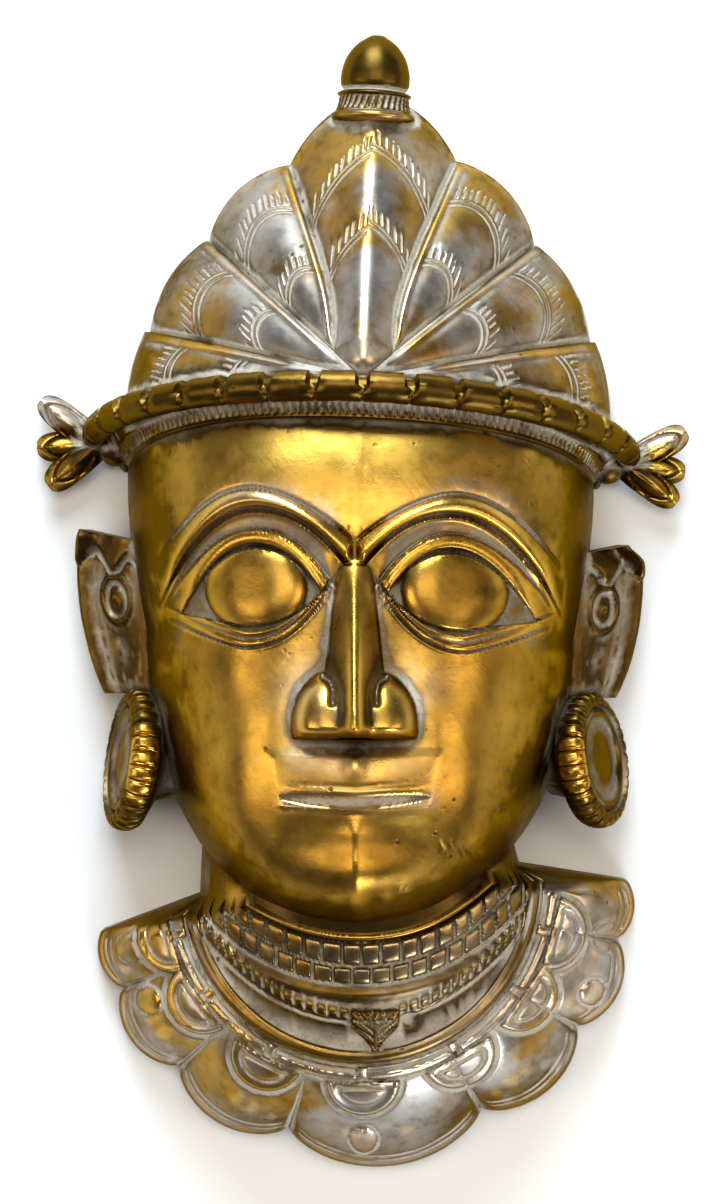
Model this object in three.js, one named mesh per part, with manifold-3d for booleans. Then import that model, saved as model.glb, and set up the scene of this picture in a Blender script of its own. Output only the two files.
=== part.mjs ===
// Brass deity mask: one hollow casting, open at the back, lying face up on its flat rim.
// Millimetres. +X is the viewer's right, +Y points to the finial, +Z comes out of the face.
import * as THREE from 'three';
import { LoftGeometry } from 'three/addons/geometries/LoftGeometry.js';
import { mergeVertices } from 'three/addons/utils/BufferGeometryUtils.js';
import Module from 'manifold-3d';

const wasm = await Module();
wasm.setup();

// The casting
const WALL = 3.2;
const SINK = 6;
const BURY = 1.6;

// The slow lean of the whole casting, by hand: sideways drift per square millimetre of height
const LEAN_ABOVE = 1.95e-4;
const LEAN_BELOW = 0.45e-4;

// The features sit a little to the left of the head, and brow and headband dip to the right
const FEATURE_DRIFT = { by: -1.5, flat: 30, gone: 58, chin: [-95, -80], brow: [36, 44] };
const HAND_TILT = { slope: 0.022, below: [-45, -10], above: [50, 75] };

// Head: a domed face whose outline is a superellipse, wider towards the brow
const HEAD = { y: -10, half: 62.8, down: 83, up: 95, flare: 0.0027, depth: 76 };
const HEAD_CURVE = { low: 2.15, high: 3.0, side: 2.6, chin: 14, brow: 3.2 };
const HEAD_BUMPS = [
  { name: 'muzzle', x: 0, y: -50, wide: 21, tall: 15, rise: 6 },
  { name: 'chin', x: 0, y: -76, wide: 15, tall: 10, rise: 5 },
  { name: 'cheek', x: 32, y: -24, wide: 16, tall: 16, rise: 2.5 },
  { name: 'socket', x: 28, y: 6, wide: 17, tall: 11, rise: -3.5 },
];

// Eye lines run from an inner end over a crest to an outer end
const BROW_TOP = { in: [1, 16.8], crest: [28, 30.3], out: [54.8, 12.2], bend: [1.7, 2] };
const BROW_LOW = { in: [5.3, 12.8], crest: [27, 24], out: [55.4, -1.1], bend: [2.2, 2] };
const LID_TOP = { in: [6.2, 4.4], crest: [27, 19.1], out: [52.3, 0.9], bend: [2.2, 2] };
const LID_LOW = { in: [8.9, 2.2], crest: [27, 15.2], out: [47.8, -1.4], bend: [2.2, 2] };
const RIM_TOP = { in: [9.3, 2.2], crest: [30, -10.7], out: [53, -3.2], bend: [2.3, 1.15] };
const RIM_LOW = { in: [6.2, 3.8], crest: [30.5, -13.6], out: [52.1, -7.1], bend: [2.3, 1.3] };
const BROW = { wide: 4.2, rise: 2.4 };
const LID = { wide: 2.8, rise: 2 };
const RIM = { wide: 1.8, rise: 1.3 };
const EYEBALL = { x: 27, y: 3, sink: 5, wide: 18.5, tall: 13.6, deep: 11 };

// Nose and mouth
const NOSE = { top: 17, tip: -34, end: -37.5, bridgeZ: 75.5, tipZ: 96, bridgeHalf: 4.6, tipHalf: 9.4 };
const WING = { x: 12, y: -29, z: 78, wide: 7.4, tall: 9.2, deep: 9.5 };
const MOUTH = { y: -53.4, half: 20.6, tall: 2.7, cut: 2.6, dip: 1.4 };

// Crown: seven leaves fanned about a point on the brow
const CROWN = { y: 62, top: 65, rim: 4, topRim: 14, slope: 1.25 };
const LEAF_END = [20.3, 48.2, 76.8, 103];
const LEAF_START_R = [84, 69, 63.6, 67.2];
const LEAF_END_R = [69, 63.1, 65.6, 71.5];
const LEAF_SWELL = [0, 3, 1.7, 0.5];
const LEAF_BULGE = 0.16;
const LEAF_HAND = 0.027;
const CROWN_BACK_R = 46;
const CROWN_HOLLOW_END = 0.68;

// Finial: a lotus bud on a hatched neck, lying along +Y
const FINIAL = { z: 20, y: 138, neckR: 11.9, waistR: 10.2, waistY: 147, budR: 9.9, tipY: 163.3 };

// Headband: a notched roll over a ribbon, on a ring that leans back
const BAND = { half: 78.2, depth: 74, footY: 43.2, tilt: 0.215, span: 86, blocks: 18 };
const ROLL_R = 4.4;
const ROLL_NOTCH = 0.76;
const ROLL_TAPER = 0.28;
const RIBBON = { drop: 8.6, proud: 1.5, sideDrop: 10.4, draw: 0.11, short: 5 };

// Blossoms, set in and down from the two ends of the headband
const BLOSSOM = { inward: 1.5, below: 1.8, long: 22.6, root: 5, hub: 5.2, wide: 8.8, deep: 3.4 };
const PETALS = [{ turn: 36, lift: 0.8, reach: 1.14 }, { turn: -4, lift: 0, reach: 1 }, { turn: -40, lift: 1.5, reach: 1.04 }];
const BLOSSOM_HAND = 0.88;

// Ears and ear discs
const EAR = { rootX: 58, rootZ: 20, rootTop: 14.5, tipY: 18.8, footY: -27, lobeX: 75, outX: 81.8, outZ: 8, thick: 3.6 };
const EAR_TIP = { left: 0.8, right: 4.5 };
const EAR_RIM = 2.2;
const DISC = { y: -45.4, z: 21.6, r: 20, thick: 9, lean: 8.5, beads: 14 };
const DISC_SIDE = { left: { x: 65.4, face: 15 }, right: { x: 66.5, face: 24 } };
const DISC_STUB = { r: 11, long: 13 };

// Neck, neck rows and collar
const NECK = { y: -78.5, foot: 6, rise: 38, lean: 0.22, half: 54, waist: 45.5, waistFrom: -88, waistTo: -78 };
const TORQUE = { r: 49.5, wide: 4.2, rise: 2.4 };
const COLLAR = { rim: 3.6, r: 76.8, turn: 5, shoulderDraw: 1.5, drop: 1.7, round: 0.8 };
const SCALLOP_END = [21.4, 48.8, 69.6, 83];
const SCALLOP_SWELL = [9.4, 7.2, 6.2, 3.6];
const NECK_ROWS = [
  { top: -98.5, side: -78.6, rise: 1.7, wide: 3 },
  { top: -106.4, side: -83.6, rise: 1.4, wide: 2.4 },
];
const NECK_ROW_HALF = 44.5;

// Ornaments on the collar
const CRESCENT = { r: 61.8, turns: [0, 28.6, 53.5, 73.2], wide: 11.3, tall: 5.8, rise: 2.4 };
const DROP = { y: -153.5, wide: 4, tall: 4.4, rise: 3 };
const PENDANT = { x: 3.6, y: -119.4, wide: 6.8, tall: 5.9, rise: 2.6 };

const radians = THREE.MathUtils.degToRad;
const mix = THREE.MathUtils.lerp;

// Closed geometry to solid, with its faces turned outward
function solid(geometry) {
  const bare = new THREE.BufferGeometry();
  bare.setAttribute('position', geometry.getAttribute('position').clone());
  bare.setIndex(geometry.index ? geometry.index.clone() : null);
  const merged = mergeVertices(bare, 1e-4);
  const points = merged.getAttribute('position').array;
  const faces = [];
  const index = merged.index.array;
  let volume = 0;
  for (let i = 0; i < index.length; i += 3) {
    const [a, b, c] = [index[i], index[i + 1], index[i + 2]];
    if (a === b || b === c || a === c) continue;
    faces.push(a, b, c);
    const p = new THREE.Vector3().fromArray(points, a * 3);
    const q = new THREE.Vector3().fromArray(points, b * 3);
    volume += p.dot(q.cross(new THREE.Vector3().fromArray(points, c * 3)));
  }
  if (volume < 0) faces.reverse();
  return new wasm.Manifold(new wasm.Mesh({
    numProp: 3,
    vertProperties: new Float32Array(points),
    triVerts: new Uint32Array(faces),
  }));
}

function joined(solids) {
  return solids.reduce((whole, next) => whole.add(next));
}

// A skin over closed sections, each end drawn together to its middle point
function skinned(sections) {
  const closed = (section) => {
    const middle = section.reduce((sum, p) => sum.add(p), new THREE.Vector3()).divideScalar(section.length);
    return section.map(() => middle);
  };
  return new LoftGeometry([closed(sections[0]), ...sections, closed(sections.at(-1))]);
}

// A dome over a closed outline: rings from the buried foot up and inward to a small cap
function dome(rings, foot) {
  const base = rings[0].map((p) => new THREE.Vector3(p.x, p.y, foot));
  return solid(skinned([base, ...rings]));
}

function ellipsoid(x, y, z, wide, tall, deep, columns = 14, rows = 8) {
  const ball = new THREE.SphereGeometry(1, columns, rows);
  ball.scale(wide, tall, deep);
  ball.translate(x, y, z);
  return solid(ball);
}

// Surface normal of a height function
function slopeNormal(height, x, y) {
  const d = 0.5;
  const dx = (height(x + d, y) - height(x - d, y)) / (2 * d);
  const dy = (height(x, y + d) - height(x, y - d)) / (2 * d);
  return new THREE.Vector3(-dx, -dy, 1).normalize();
}

// A rounded ridge that rides on a surface; sizeAt(share) gives its half width and its rise
function ridge(height, line, sizeAt) {
  const last = line.length - 1;
  const seat = line.map(([x, y]) => new THREE.Vector3(x, y, height(x, y)));
  const sections = seat.map((p, i) => {
    const along = new THREE.Vector3().subVectors(seat[Math.min(i + 1, last)], seat[Math.max(i - 1, 0)]).normalize();
    const out = slopeNormal(height, p.x, p.y);
    const side = new THREE.Vector3().crossVectors(along, out).normalize();
    const [wide, rise] = sizeAt(i / last);
    const profile = [[-1, -BURY], [-0.8, rise * 0.45], [0, rise], [0.8, rise * 0.45], [1, -BURY]];
    return profile.map(([across, lift]) => p.clone().addScaledVector(side, across * wide).addScaledVector(out, lift));
  });
  return solid(skinned(sections));
}

// Head
function headShare(x, y) {
  const dy = y - HEAD.y;
  const wide = Math.abs(x) / (HEAD.half * (1 + HEAD.flare * Math.max(dy, 0)));
  const tall = Math.abs(dy) / (dy > 0 ? HEAD.up : HEAD.down);
  const power = dy > 0 ? HEAD_CURVE.high : HEAD_CURVE.low;
  return (wide ** power + tall ** power) ** (1 / power);
}

function headHeight(x, y, inset = 0) {
  const dy = y - HEAD.y;
  const share = Math.min(headShare(x, y), 1);
  const rise = Math.hypot(x, dy) > 0 ? Math.abs(dy) / Math.hypot(x, dy) : 0;
  const end = dy > 0 ? HEAD_CURVE.brow : HEAD_CURVE.chin;
  const power = mix(HEAD_CURVE.side, end, rise ** 5);
  let z = HEAD.depth * Math.sqrt(1 - share ** power);
  for (const bump of HEAD_BUMPS) {
    const u = (Math.abs(x) - bump.x) / bump.wide;
    const v = (y - bump.y) / bump.tall;
    z += bump.rise * Math.exp(-(u * u + v * v)) * (1 - share ** 8);
  }
  return z - inset;
}

function headSolid(inset, columns) {
  const shares = inset > 0
    ? [1, 0.98, 0.93, 0.84, 0.7, 0.5, 0.25]
    : [1, 0.993, 0.975, 0.94, 0.88, 0.8, 0.69, 0.56, 0.42, 0.27, 0.12];
  const ringAt = (share) => {
    const ring = [];
    for (let i = 0; i < columns; i++) {
      const turn = (i / columns) * Math.PI * 2;
      const [c, s] = [Math.cos(turn), Math.sin(turn)];
      const power = 2 / (s > 0 ? HEAD_CURVE.high : HEAD_CURVE.low);
      const reach = (s > 0 ? HEAD.up : HEAD.down) - inset;
      const dy = share * Math.sign(s) * Math.abs(s) ** power * reach;
      const x = share * Math.sign(c) * Math.abs(c) ** power * (HEAD.half - inset) * (1 + HEAD.flare * Math.max(dy, 0));
      const grow = 1 + inset / HEAD.half;
      const z = share === 1 ? -SINK * 0.5 : headHeight(x * grow, HEAD.y + dy * grow, inset);
      ring.push(new THREE.Vector3(x, HEAD.y + dy, Math.max(z, -SINK * 0.5)));
    }
    return ring;
  };
  const whole = dome(shares.map(ringAt), -SINK);
  return whole.subtract(aboveBand(-inset));
}

// The space beyond the headband's leaning plane, where the crown takes over from the head
function aboveBand(lift) {
  const size = 400;
  const block = new THREE.BoxGeometry(size, size, size);
  block.translate(0, size / 2, 0);
  block.rotateX(-Math.atan(BAND.tilt));
  block.translate(0, BAND.footY + 2 + lift, 0);
  return solid(block);
}

// Eyes
function eyeLine({ in: inner, crest, out, bend }, count, side) {
  const line = [];
  for (let i = 0; i <= count; i++) {
    const share = i / count;
    const x = mix(inner[0], out[0], 0.5 - 0.5 * Math.cos(Math.PI * share));
    const [end, power] = x < crest[0] ? [inner, bend[0]] : [out, bend[1]];
    const run = Math.abs((x - crest[0]) / (end[0] - crest[0]));
    line.push([side * x, crest[1] - (crest[1] - end[1]) * run ** power]);
  }
  return line;
}

function between(upper, lower) {
  return upper.map(([x, y], i) => [mix(x, lower[i][0], 0.5), mix(y, lower[i][1], 0.5)]);
}

function eyeSolids(side) {
  const height = (x, y) => headHeight(x, y);
  const taper = (share) => 0.35 + 0.65 * Math.sin(Math.PI * share) ** 0.5;
  const folds = [[BROW_TOP, BROW_LOW, BROW], [LID_TOP, LID_LOW, LID], [RIM_TOP, RIM_LOW, RIM]];
  const solids = folds.map(([upper, lower, { wide, rise }]) => ridge(height,
    between(eyeLine(upper, 8, side), eyeLine(lower, 8, side)), (share) => [wide * taper(share), rise * taper(share)]));
  const z = headHeight(EYEBALL.x, EYEBALL.y) - EYEBALL.sink;
  return [...solids, ellipsoid(side * EYEBALL.x, EYEBALL.y, z, EYEBALL.wide, EYEBALL.tall, EYEBALL.deep, 12, 10)];
}

// Nose: sections across the face from the brow to the flat underside
function noseSolid(inset) {
  const sections = [];
  const rows = [0, 0.16, 0.36, 0.56, 0.76, 0.9, 1];
  for (const share of rows) {
    const y = mix(NOSE.top, NOSE.tip, share);
    sections.push(noseSection(y, mix(NOSE.bridgeZ, NOSE.tipZ, share ** 1.25), mix(NOSE.bridgeHalf, NOSE.tipHalf, share ** 2), inset));
  }
  sections.push(noseSection(NOSE.end + inset, NOSE.tipZ - 5, NOSE.tipHalf * 0.82, inset));
  return solid(skinned(sections));
}

function noseSection(y, crest, half, inset) {
  const foot = HEAD.depth - 14 - inset;
  const wide = half - inset * 0.9;
  const top = crest - inset;
  const profile = [[-1.5, 0], [-1.12, 0.45], [-0.72, 0.82], [0, 1], [0.72, 0.82], [1.12, 0.45], [1.5, 0]];
  return profile.map(([across, lift]) => new THREE.Vector3(across * wide, y, mix(foot, top, lift)));
}

// Mouth: a long low lens cut into the muzzle
function mouthCut() {
  const sections = [];
  const steps = 10;
  for (let i = 0; i <= steps; i++) {
    const share = i / steps;
    const x = mix(-MOUTH.half, MOUTH.half, share);
    const open = Math.max(Math.sin(Math.PI * share) ** 0.6, 0.16) * MOUTH.tall * 0.5;
    const y = MOUTH.y - MOUTH.dip * (1 - Math.abs(2 * share - 1));
    const z = headHeight(x, y);
    sections.push([[open, 3], [open, -0.8], [0, -MOUTH.cut], [-open, -0.8], [-open, 3]]
      .map(([up, lift]) => new THREE.Vector3(x, y + up, z + lift)));
  }
  return solid(skinned(sections));
}

// Crown
function leafEdge(leaf, r) {
  if (leaf < 0) return 0;
  const spread = leaf === 0 ? 27 * Math.exp(-Math.max(r - 11, 0) / 6) : 0;
  return LEAF_END[leaf] + spread;
}

function leafRadius(leaf, share) {
  const run = leaf === 0 ? share ** 1.6 : share;
  const swell = LEAF_SWELL[leaf] * Math.sin(Math.PI * share) ** 0.8;
  return mix(LEAF_START_R[leaf], LEAF_END_R[leaf], run) + swell;
}

function leafRelief(leaf, across, share, r) {
  const wide = radians(leafEdge(leaf, r) - leafEdge(leaf - 1, r)) * r * (leaf === 0 ? 2 : 1);
  const shape = leaf === 0
    ? 1 - across ** 1.4
    : 0.8 * (1 - Math.abs(2 * across - 1) ** 2.2) + 0.35 * (1 - across);
  return LEAF_BULGE * wide * shape * (1 - 0.8 * share ** 8);
}

function crownBase(share, turn) {
  const rim = CROWN.rim + (CROWN.topRim - CROWN.rim) * Math.max(Math.cos(turn), 0) ** 2;
  const power = 1 - 0.38 * (1 - Math.max(Math.cos(turn), 0));
  return rim + (CROWN.top - rim) * (1 - share ** CROWN.slope) ** power;
}

function crownColumns(across, last) {
  const columns = [];
  for (let leaf = 0; leaf < LEAF_END.length; leaf++) {
    const reach = leaf === LEAF_END.length - 1 ? last : 1;
    for (const share of across) columns.push({ leaf, run: share * reach });
  }
  return columns;
}

function crownSolid(inset, across, shares) {
  const right = crownColumns(across, inset > 0 ? CROWN_HOLLOW_END : 1).map((column) => ({ ...column, side: 1 }));
  const left = right.map((column) => ({ ...column, side: -1 })).reverse();
  const behind = [112, 132, 155, 180, 205, 228, 248];
  const ringAt = (share) => {
    const place = (turn, r, z) => new THREE.Vector3(r * Math.sin(turn), CROWN.y + r * Math.cos(turn), z);
    const leafPoint = ({ leaf, run, side }) => {
      const reach = leafRadius(leaf, run) * (1 + side * LEAF_HAND * Math.min(leaf + run, 1)) - inset;
      const r = share * reach;
      const turn = radians(mix(leafEdge(leaf - 1, r), leafEdge(leaf, r), run));
      const relief = inset > 0 ? 0 : leafRelief(leaf, run, share, r);
      return place(side * turn, r, crownBase(share, turn) + relief - inset);
    };
    const back = behind.map((turn) => place(radians(turn), share * (CROWN_BACK_R - inset), crownBase(share, Math.PI / 2) - inset));
    return [...right.map(leafPoint), ...back, ...left.map(leafPoint)];
  };
  return dome(shares.map(ringAt), -SINK);
}

// Finial, turned about its own axis
function finialSolid() {
  const { z, y, neckR, waistR, waistY, budR, tipY } = FINIAL;
  const bud = tipY - waistY;
  const profile = [
    [0, y - 2], [neckR * 0.6, y - 2], [neckR, y + 1], [waistR, waistY - 1.2], [waistR * 0.86, waistY - 0.4],
    [budR * 0.96, waistY + 0.4], [budR, waistY + bud * 0.2], [budR * 0.95, waistY + bud * 0.4],
    [budR * 0.8, waistY + bud * 0.62], [budR * 0.5, waistY + bud * 0.83], [budR * 0.2, waistY + bud * 0.95], [0, tipY],
  ].map(([r, h]) => new THREE.Vector2(r, h));
  const body = new THREE.LatheGeometry(profile, 14);
  body.translate(0, 0, z);
  return solid(body);
}

// Headband
function bandPoint(turn, out = 0) {
  const x = (BAND.half + out) * Math.sin(turn);
  const z = (BAND.depth + out) * Math.cos(turn);
  return new THREE.Vector3(x, BAND.footY + BAND.tilt * z, z);
}

function bandFrame(turn) {
  const out = new THREE.Vector3(Math.sin(turn) / BAND.half, 0, Math.cos(turn) / BAND.depth).normalize();
  const along = new THREE.Vector3(Math.cos(turn) * BAND.half, 0, -Math.sin(turn) * BAND.depth).normalize();
  return { out, up: new THREE.Vector3().crossVectors(out, along).normalize() };
}

function rollSolid() {
  const sections = [];
  const sides = 6;
  const pitch = (2 * BAND.span) / BAND.blocks;
  for (let block = 0; block <= BAND.blocks; block++) {
    for (const [share, size] of [[0, ROLL_NOTCH], [0.2, 1], [0.8, 1]]) {
      if (block === BAND.blocks && share > 0) continue;
      const turn = radians(-BAND.span + (block + share) * pitch);
      const { out, up } = bandFrame(turn);
      const centre = bandPoint(turn);
      const radius = ROLL_R * size * (1 - ROLL_TAPER * Math.abs(turn / radians(BAND.span)) ** 8);
      const ring = [];
      for (let i = 0; i < sides; i++) {
        const around = ((i + 0.5) / sides) * Math.PI * 2;
        ring.push(centre.clone()
          .addScaledVector(out, Math.cos(around) * radius)
          .addScaledVector(up, Math.sin(around) * radius));
      }
      sections.push(ring);
    }
  }
  return solid(skinned(sections));
}

// The ribbon's lower edge, on the brow
function ribbonFoot(turn) {
  const top = bandPoint(turn);
  const drop = mix(RIBBON.drop, RIBBON.sideDrop, Math.sin(turn) ** 4);
  const y = top.y - drop;
  const x = top.x * (1 - RIBBON.draw * Math.abs(Math.sin(turn)) ** 1.5);
  return new THREE.Vector3(x, y, headHeight(x, y) + RIBBON.proud);
}

function ribbonSolid() {
  const sections = [];
  const steps = 12;
  for (let i = 0; i <= steps; i++) {
    const turn = radians((BAND.span - RIBBON.short) * (2 * i / steps - 1));
    const { out } = bandFrame(turn);
    const top = bandPoint(turn);
    const foot = ribbonFoot(turn);
    const inward = 9;
    sections.push([
      top.clone().addScaledVector(out, -ROLL_R * 0.4),
      foot,
      foot.clone().addScaledVector(out, -inward),
      top.clone().addScaledVector(out, -ROLL_R - inward),
      top.clone().addScaledVector(out, -ROLL_R * 0.6).add(new THREE.Vector3(0, ROLL_R * 0.7, 0)),
    ]);
  }
  return solid(skinned(sections));
}

// Petal: a keeled leaf lying along +X from its root
function petalGeometry(long, wide, deep) {
  const sections = [];
  for (const share of [0, 0.3, 0.6, 0.85, 0.97, 1]) {
    const run = Math.min(Math.abs(share - 0.55) / 0.47, 0.96);
    const half = wide * 0.5 * Math.sqrt(1 - run ** 4);
    const lift = deep * (0.5 + 0.5 * Math.sin(Math.PI * share * 0.9));
    sections.push([[-1, 0], [0, 1], [1, 0], [0, -0.9]]
      .map(([across, up]) => new THREE.Vector3(long * share, across * half, up * lift)));
  }
  return skinned(sections);
}

function blossomSolids(side) {
  const { inward, below, root, hub } = BLOSSOM;
  const end = bandPoint(radians(BAND.span));
  const [x, y, z] = [end.x - inward, end.y - below, end.z];
  const middle = ellipsoid(side * (x - root), y, z, hub, hub * 1.1, hub * 0.9, 8, 6);
  const petals = PETALS.map(({ turn, lift, reach }) => {
    const petal = petalGeometry(BLOSSOM.long * reach, BLOSSOM.wide, BLOSSOM.deep);
    petal.translate(-root, 0, 0);
    petal.rotateZ(radians(turn * (side > 0 ? BLOSSOM_HAND : 1)));
    if (side < 0) petal.scale(-1, 1, 1);
    petal.translate(side * x, y, z + lift);
    return solid(petal);
  });
  return [middle, ...petals];
}

// Ear: a dished plate with a raised rim, leaning back from the head
function earSolid(side) {
  const { rootX, rootZ, rootTop, tipY, footY, lobeX, outX, outZ, thick } = EAR;
  const tip = side > 0 ? EAR_TIP.right : EAR_TIP.left;
  const sections = [];
  const steps = 9;
  for (let i = 0; i <= steps; i++) {
    const share = i / steps;
    const spread = Math.sin(Math.PI * Math.min(share * 0.62 + 0.02, 1)) ** 0.7;
    const edge = mix(lobeX - 3, outX, spread) - (share > 0.9 ? tip : 0);
    const back = mix(outZ + 4, outZ, spread);
    const at = (across, lift) => {
      const x = mix(rootX, edge, across);
      const y = mix(footY, mix(rootTop, tipY, across), share);
      return new THREE.Vector3(side * (x + lift * 0.55), y, mix(rootZ, back, across) + lift * 0.8);
    };
    sections.push([at(0, 1), at(0.35, 0.8), at(0.72, -0.4), at(0.9, EAR_RIM), at(1, 0.6), at(1, -thick), at(0, -thick)]);
  }
  return solid(skinned(sections));
}

// Ear disc: a beaded wheel with a dished face, on a stub that runs back to the cheek
function discSolid(side) {
  const { r, thick, beads } = DISC;
  const { x, face } = side > 0 ? DISC_SIDE.right : DISC_SIDE.left;
  const half = thick / 2;
  const rings = [];
  const columns = beads * 2;
  const profile = [
    [DISC_STUB.r * 0.8, -DISC_STUB.long, 0], [r * 0.84, -half, 0], [r, -half * 0.3, 1],
    [r, half * 0.5, 1], [r * 0.8, half, 0.5], [r * 0.72, half * 0.6, 0], [r * 0.4, half * 0.85, 0],
  ];
  for (const [radius, along, beaded] of profile) {
    const ring = [];
    for (let i = 0; i < columns; i++) {
      const turn = (i / columns) * Math.PI * 2;
      const notch = beaded * (i % 2) * 0.05;
      ring.push(new THREE.Vector3(radius * (1 - notch) * Math.cos(turn), radius * (1 - notch) * Math.sin(turn), along));
    }
    rings.push(ring);
  }
  const wheel = skinned(rings);
  wheel.rotateY(Math.PI / 2 - radians(face));
  wheel.rotateZ(radians(DISC.lean));
  if (side < 0) wheel.scale(-1, 1, 1);
  wheel.translate(side * x, DISC.y, DISC.z);
  return solid(wheel);
}

// Neck and collar, by distance and turn about the throat; turn 0 points down
function neckHeight(x, y, inset = 0) {
  const level = y - x * Math.tan(radians(COLLAR.turn));
  const waist = THREE.MathUtils.smoothstep(level, NECK.waistFrom, NECK.waistTo);
  const half = mix(NECK.half, NECK.waist, waist) - inset;
  const low = NECK.y - TORQUE.r;
  const round = Math.sqrt(Math.max(1 - (x / half) ** 2, 0));
  return NECK.foot + (NECK.rise + NECK.lean * (y - low)) * round - inset;
}

function collarReach(turn) {
  const bare = Math.abs(THREE.MathUtils.radToDeg(turn) + COLLAR.turn);
  let start = 0;
  for (let i = 0; i < SCALLOP_END.length; i++) {
    if (bare <= SCALLOP_END[i]) {
      const share = i === 0 ? 0.5 + 0.5 * (bare / SCALLOP_END[0]) : (bare - start) / (SCALLOP_END[i] - start);
      return COLLAR.r + SCALLOP_SWELL[i] * Math.sin(Math.PI * share) ** 0.62;
    }
    start = SCALLOP_END[i];
  }
  return NECK.waist + 1;
}

function collarPlace(r, turn) {
  return [-r * Math.sin(turn), NECK.y - r * Math.cos(turn)];
}

function collarHeight(r, turn, reach, inset = 0) {
  if (r <= TORQUE.r) return neckHeight(...collarPlace(r, turn), inset);
  const seat = neckHeight(...collarPlace(TORQUE.r, turn), inset);
  const rim = COLLAR.rim - inset;
  const run = Math.min((r - TORQUE.r) / (reach - TORQUE.r), 1);
  return rim + (seat - rim) * (1 - run ** COLLAR.drop) ** COLLAR.round;
}

function collarTurns(fine, inset) {
  const turns = [];
  const last = SCALLOP_END.at(-1) - inset * COLLAR.shoulderDraw;
  const ends = [...SCALLOP_END.slice(0, -1), last];
  const marks = ends.flatMap((end) => [end, -end]).concat([0]).sort((a, b) => a - b);
  for (let i = 0; i < marks.length - 1; i++) {
    for (let j = 0; j < fine; j++) turns.push(mix(marks[i], marks[i + 1], j / fine) - COLLAR.turn);
  }
  turns.push(last - COLLAR.turn);
  const behind = [last + 5, 110, 140, 180, 220, 250, 355 - last].map((turn) => turn - COLLAR.turn);
  return [...turns, ...behind].map(radians);
}

function collarSolid(inset, fine) {
  const turns = collarTurns(fine, inset);
  const plate = [1, 0.88, 0.66, 0.42, 0.2];
  const neck = inset > 0 ? [0.96, 0.84, 0.6, 0.3] : [0.97, 0.9, 0.76, 0.5, 0.25];
  const rings = [];
  const reachAt = (turn) => (inset > 0 ? Math.min(collarReach(turn), COLLAR.r) : collarReach(turn)) - inset;
  for (const share of plate) {
    rings.push(turns.map((turn) => {
      const reach = reachAt(turn);
      const open = reach > TORQUE.r;
      const r = open ? mix(TORQUE.r + TORQUE.wide * 0.5, reach, share) : reach * (0.96 + 0.04 * share);
      const [x, y] = collarPlace(r, turn);
      const z = open ? collarHeight(r, turn, reach, inset) : neckHeight(x, y, inset);
      return new THREE.Vector3(x, y, z);
    }));
  }
  const crest = (scale, lift) => turns.map((turn) => {
    const open = reachAt(turn) > TORQUE.r;
    const [x, y] = collarPlace(open ? TORQUE.r * scale : reachAt(turn) * 0.95 * scale, turn);
    return new THREE.Vector3(x, y, neckHeight(x, y) + (open ? lift : 0));
  });
  if (inset === 0) {
    const half = (TORQUE.wide * 0.4) / TORQUE.r;
    rings.push(crest(1 + half, TORQUE.rise), crest(1 - half, TORQUE.rise));
  }
  for (const share of neck) {
    rings.push(turns.map((turn) => {
      const reach = Math.min(TORQUE.r, reachAt(turn) * 0.95);
      const [x, y] = collarPlace(reach * share, turn);
      return new THREE.Vector3(x, y, neckHeight(x, y, inset));
    }));
  }
  return dome(rings, -SINK);
}

// Raised rows round the neck
function neckRowSolids() {
  return NECK_ROWS.map(({ top, side, rise, wide }) => {
    const line = [];
    const steps = 10;
    for (let i = 0; i <= steps; i++) {
      const x = NECK_ROW_HALF * Math.sin(radians(mix(-78, 78, i / steps)));
      line.push([x, mix(top, side, Math.abs(x / NECK_ROW_HALF) ** 2.1)]);
    }
    return ridge(neckHeight, line, () => [wide, rise]);
  });
}

// A low boss on the collar with its own turn; the outline is a lens or a half moon
function collarBoss(r, turn, wide, tall, rise, moon) {
  const columns = 10;
  const height = (x, y) => {
    const dy = y - NECK.y;
    const at = Math.atan2(-x, -dy);
    return collarHeight(Math.hypot(x, dy), at, Math.max(collarReach(at), COLLAR.r));
  };
  const [cx, cy] = collarPlace(r, turn);
  const out = [-Math.sin(turn), -Math.cos(turn)];
  const side = [-out[1], out[0]];
  const ringAt = (share) => {
    const ring = [];
    for (let i = 0; i < columns; i++) {
      const around = (i / columns) * Math.PI * 2;
      const u = Math.cos(around) * wide * share;
      const lift = Math.sin(around);
      const v = tall * share * (moon ? Math.max(2 * lift, 0.12 * lift) - 1 : lift);
      const [x, y] = [cx + side[0] * u + out[0] * v, cy + side[1] * u + out[1] * v];
      ring.push(new THREE.Vector3(x, y, height(x, y) + (share === 1 ? -BURY : rise * (1 - share ** 3) ** 0.5)));
    }
    return ring;
  };
  const rings = [1, 0.8, 0.4].map(ringAt);
  return solid(skinned(rings));
}

function collarOrnaments() {
  const solids = [];
  const both = (turns) => turns.flatMap((turn) => (turn === 0 ? [0] : [turn, -turn])).map(radians);
  for (const turn of both(CRESCENT.turns)) {
    solids.push(collarBoss(CRESCENT.r, turn, CRESCENT.wide, CRESCENT.tall, CRESCENT.rise, true));
  }
  solids.push(collarBoss(NECK.y - DROP.y, 0, DROP.wide, DROP.tall, DROP.rise, false));
  const z = neckHeight(PENDANT.x, PENDANT.y) - 0.5;
  solids.push(ellipsoid(PENDANT.x, PENDANT.y, z, PENDANT.wide, PENDANT.tall, PENDANT.rise + 0.5, 12, 6));
  return solids;
}

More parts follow.
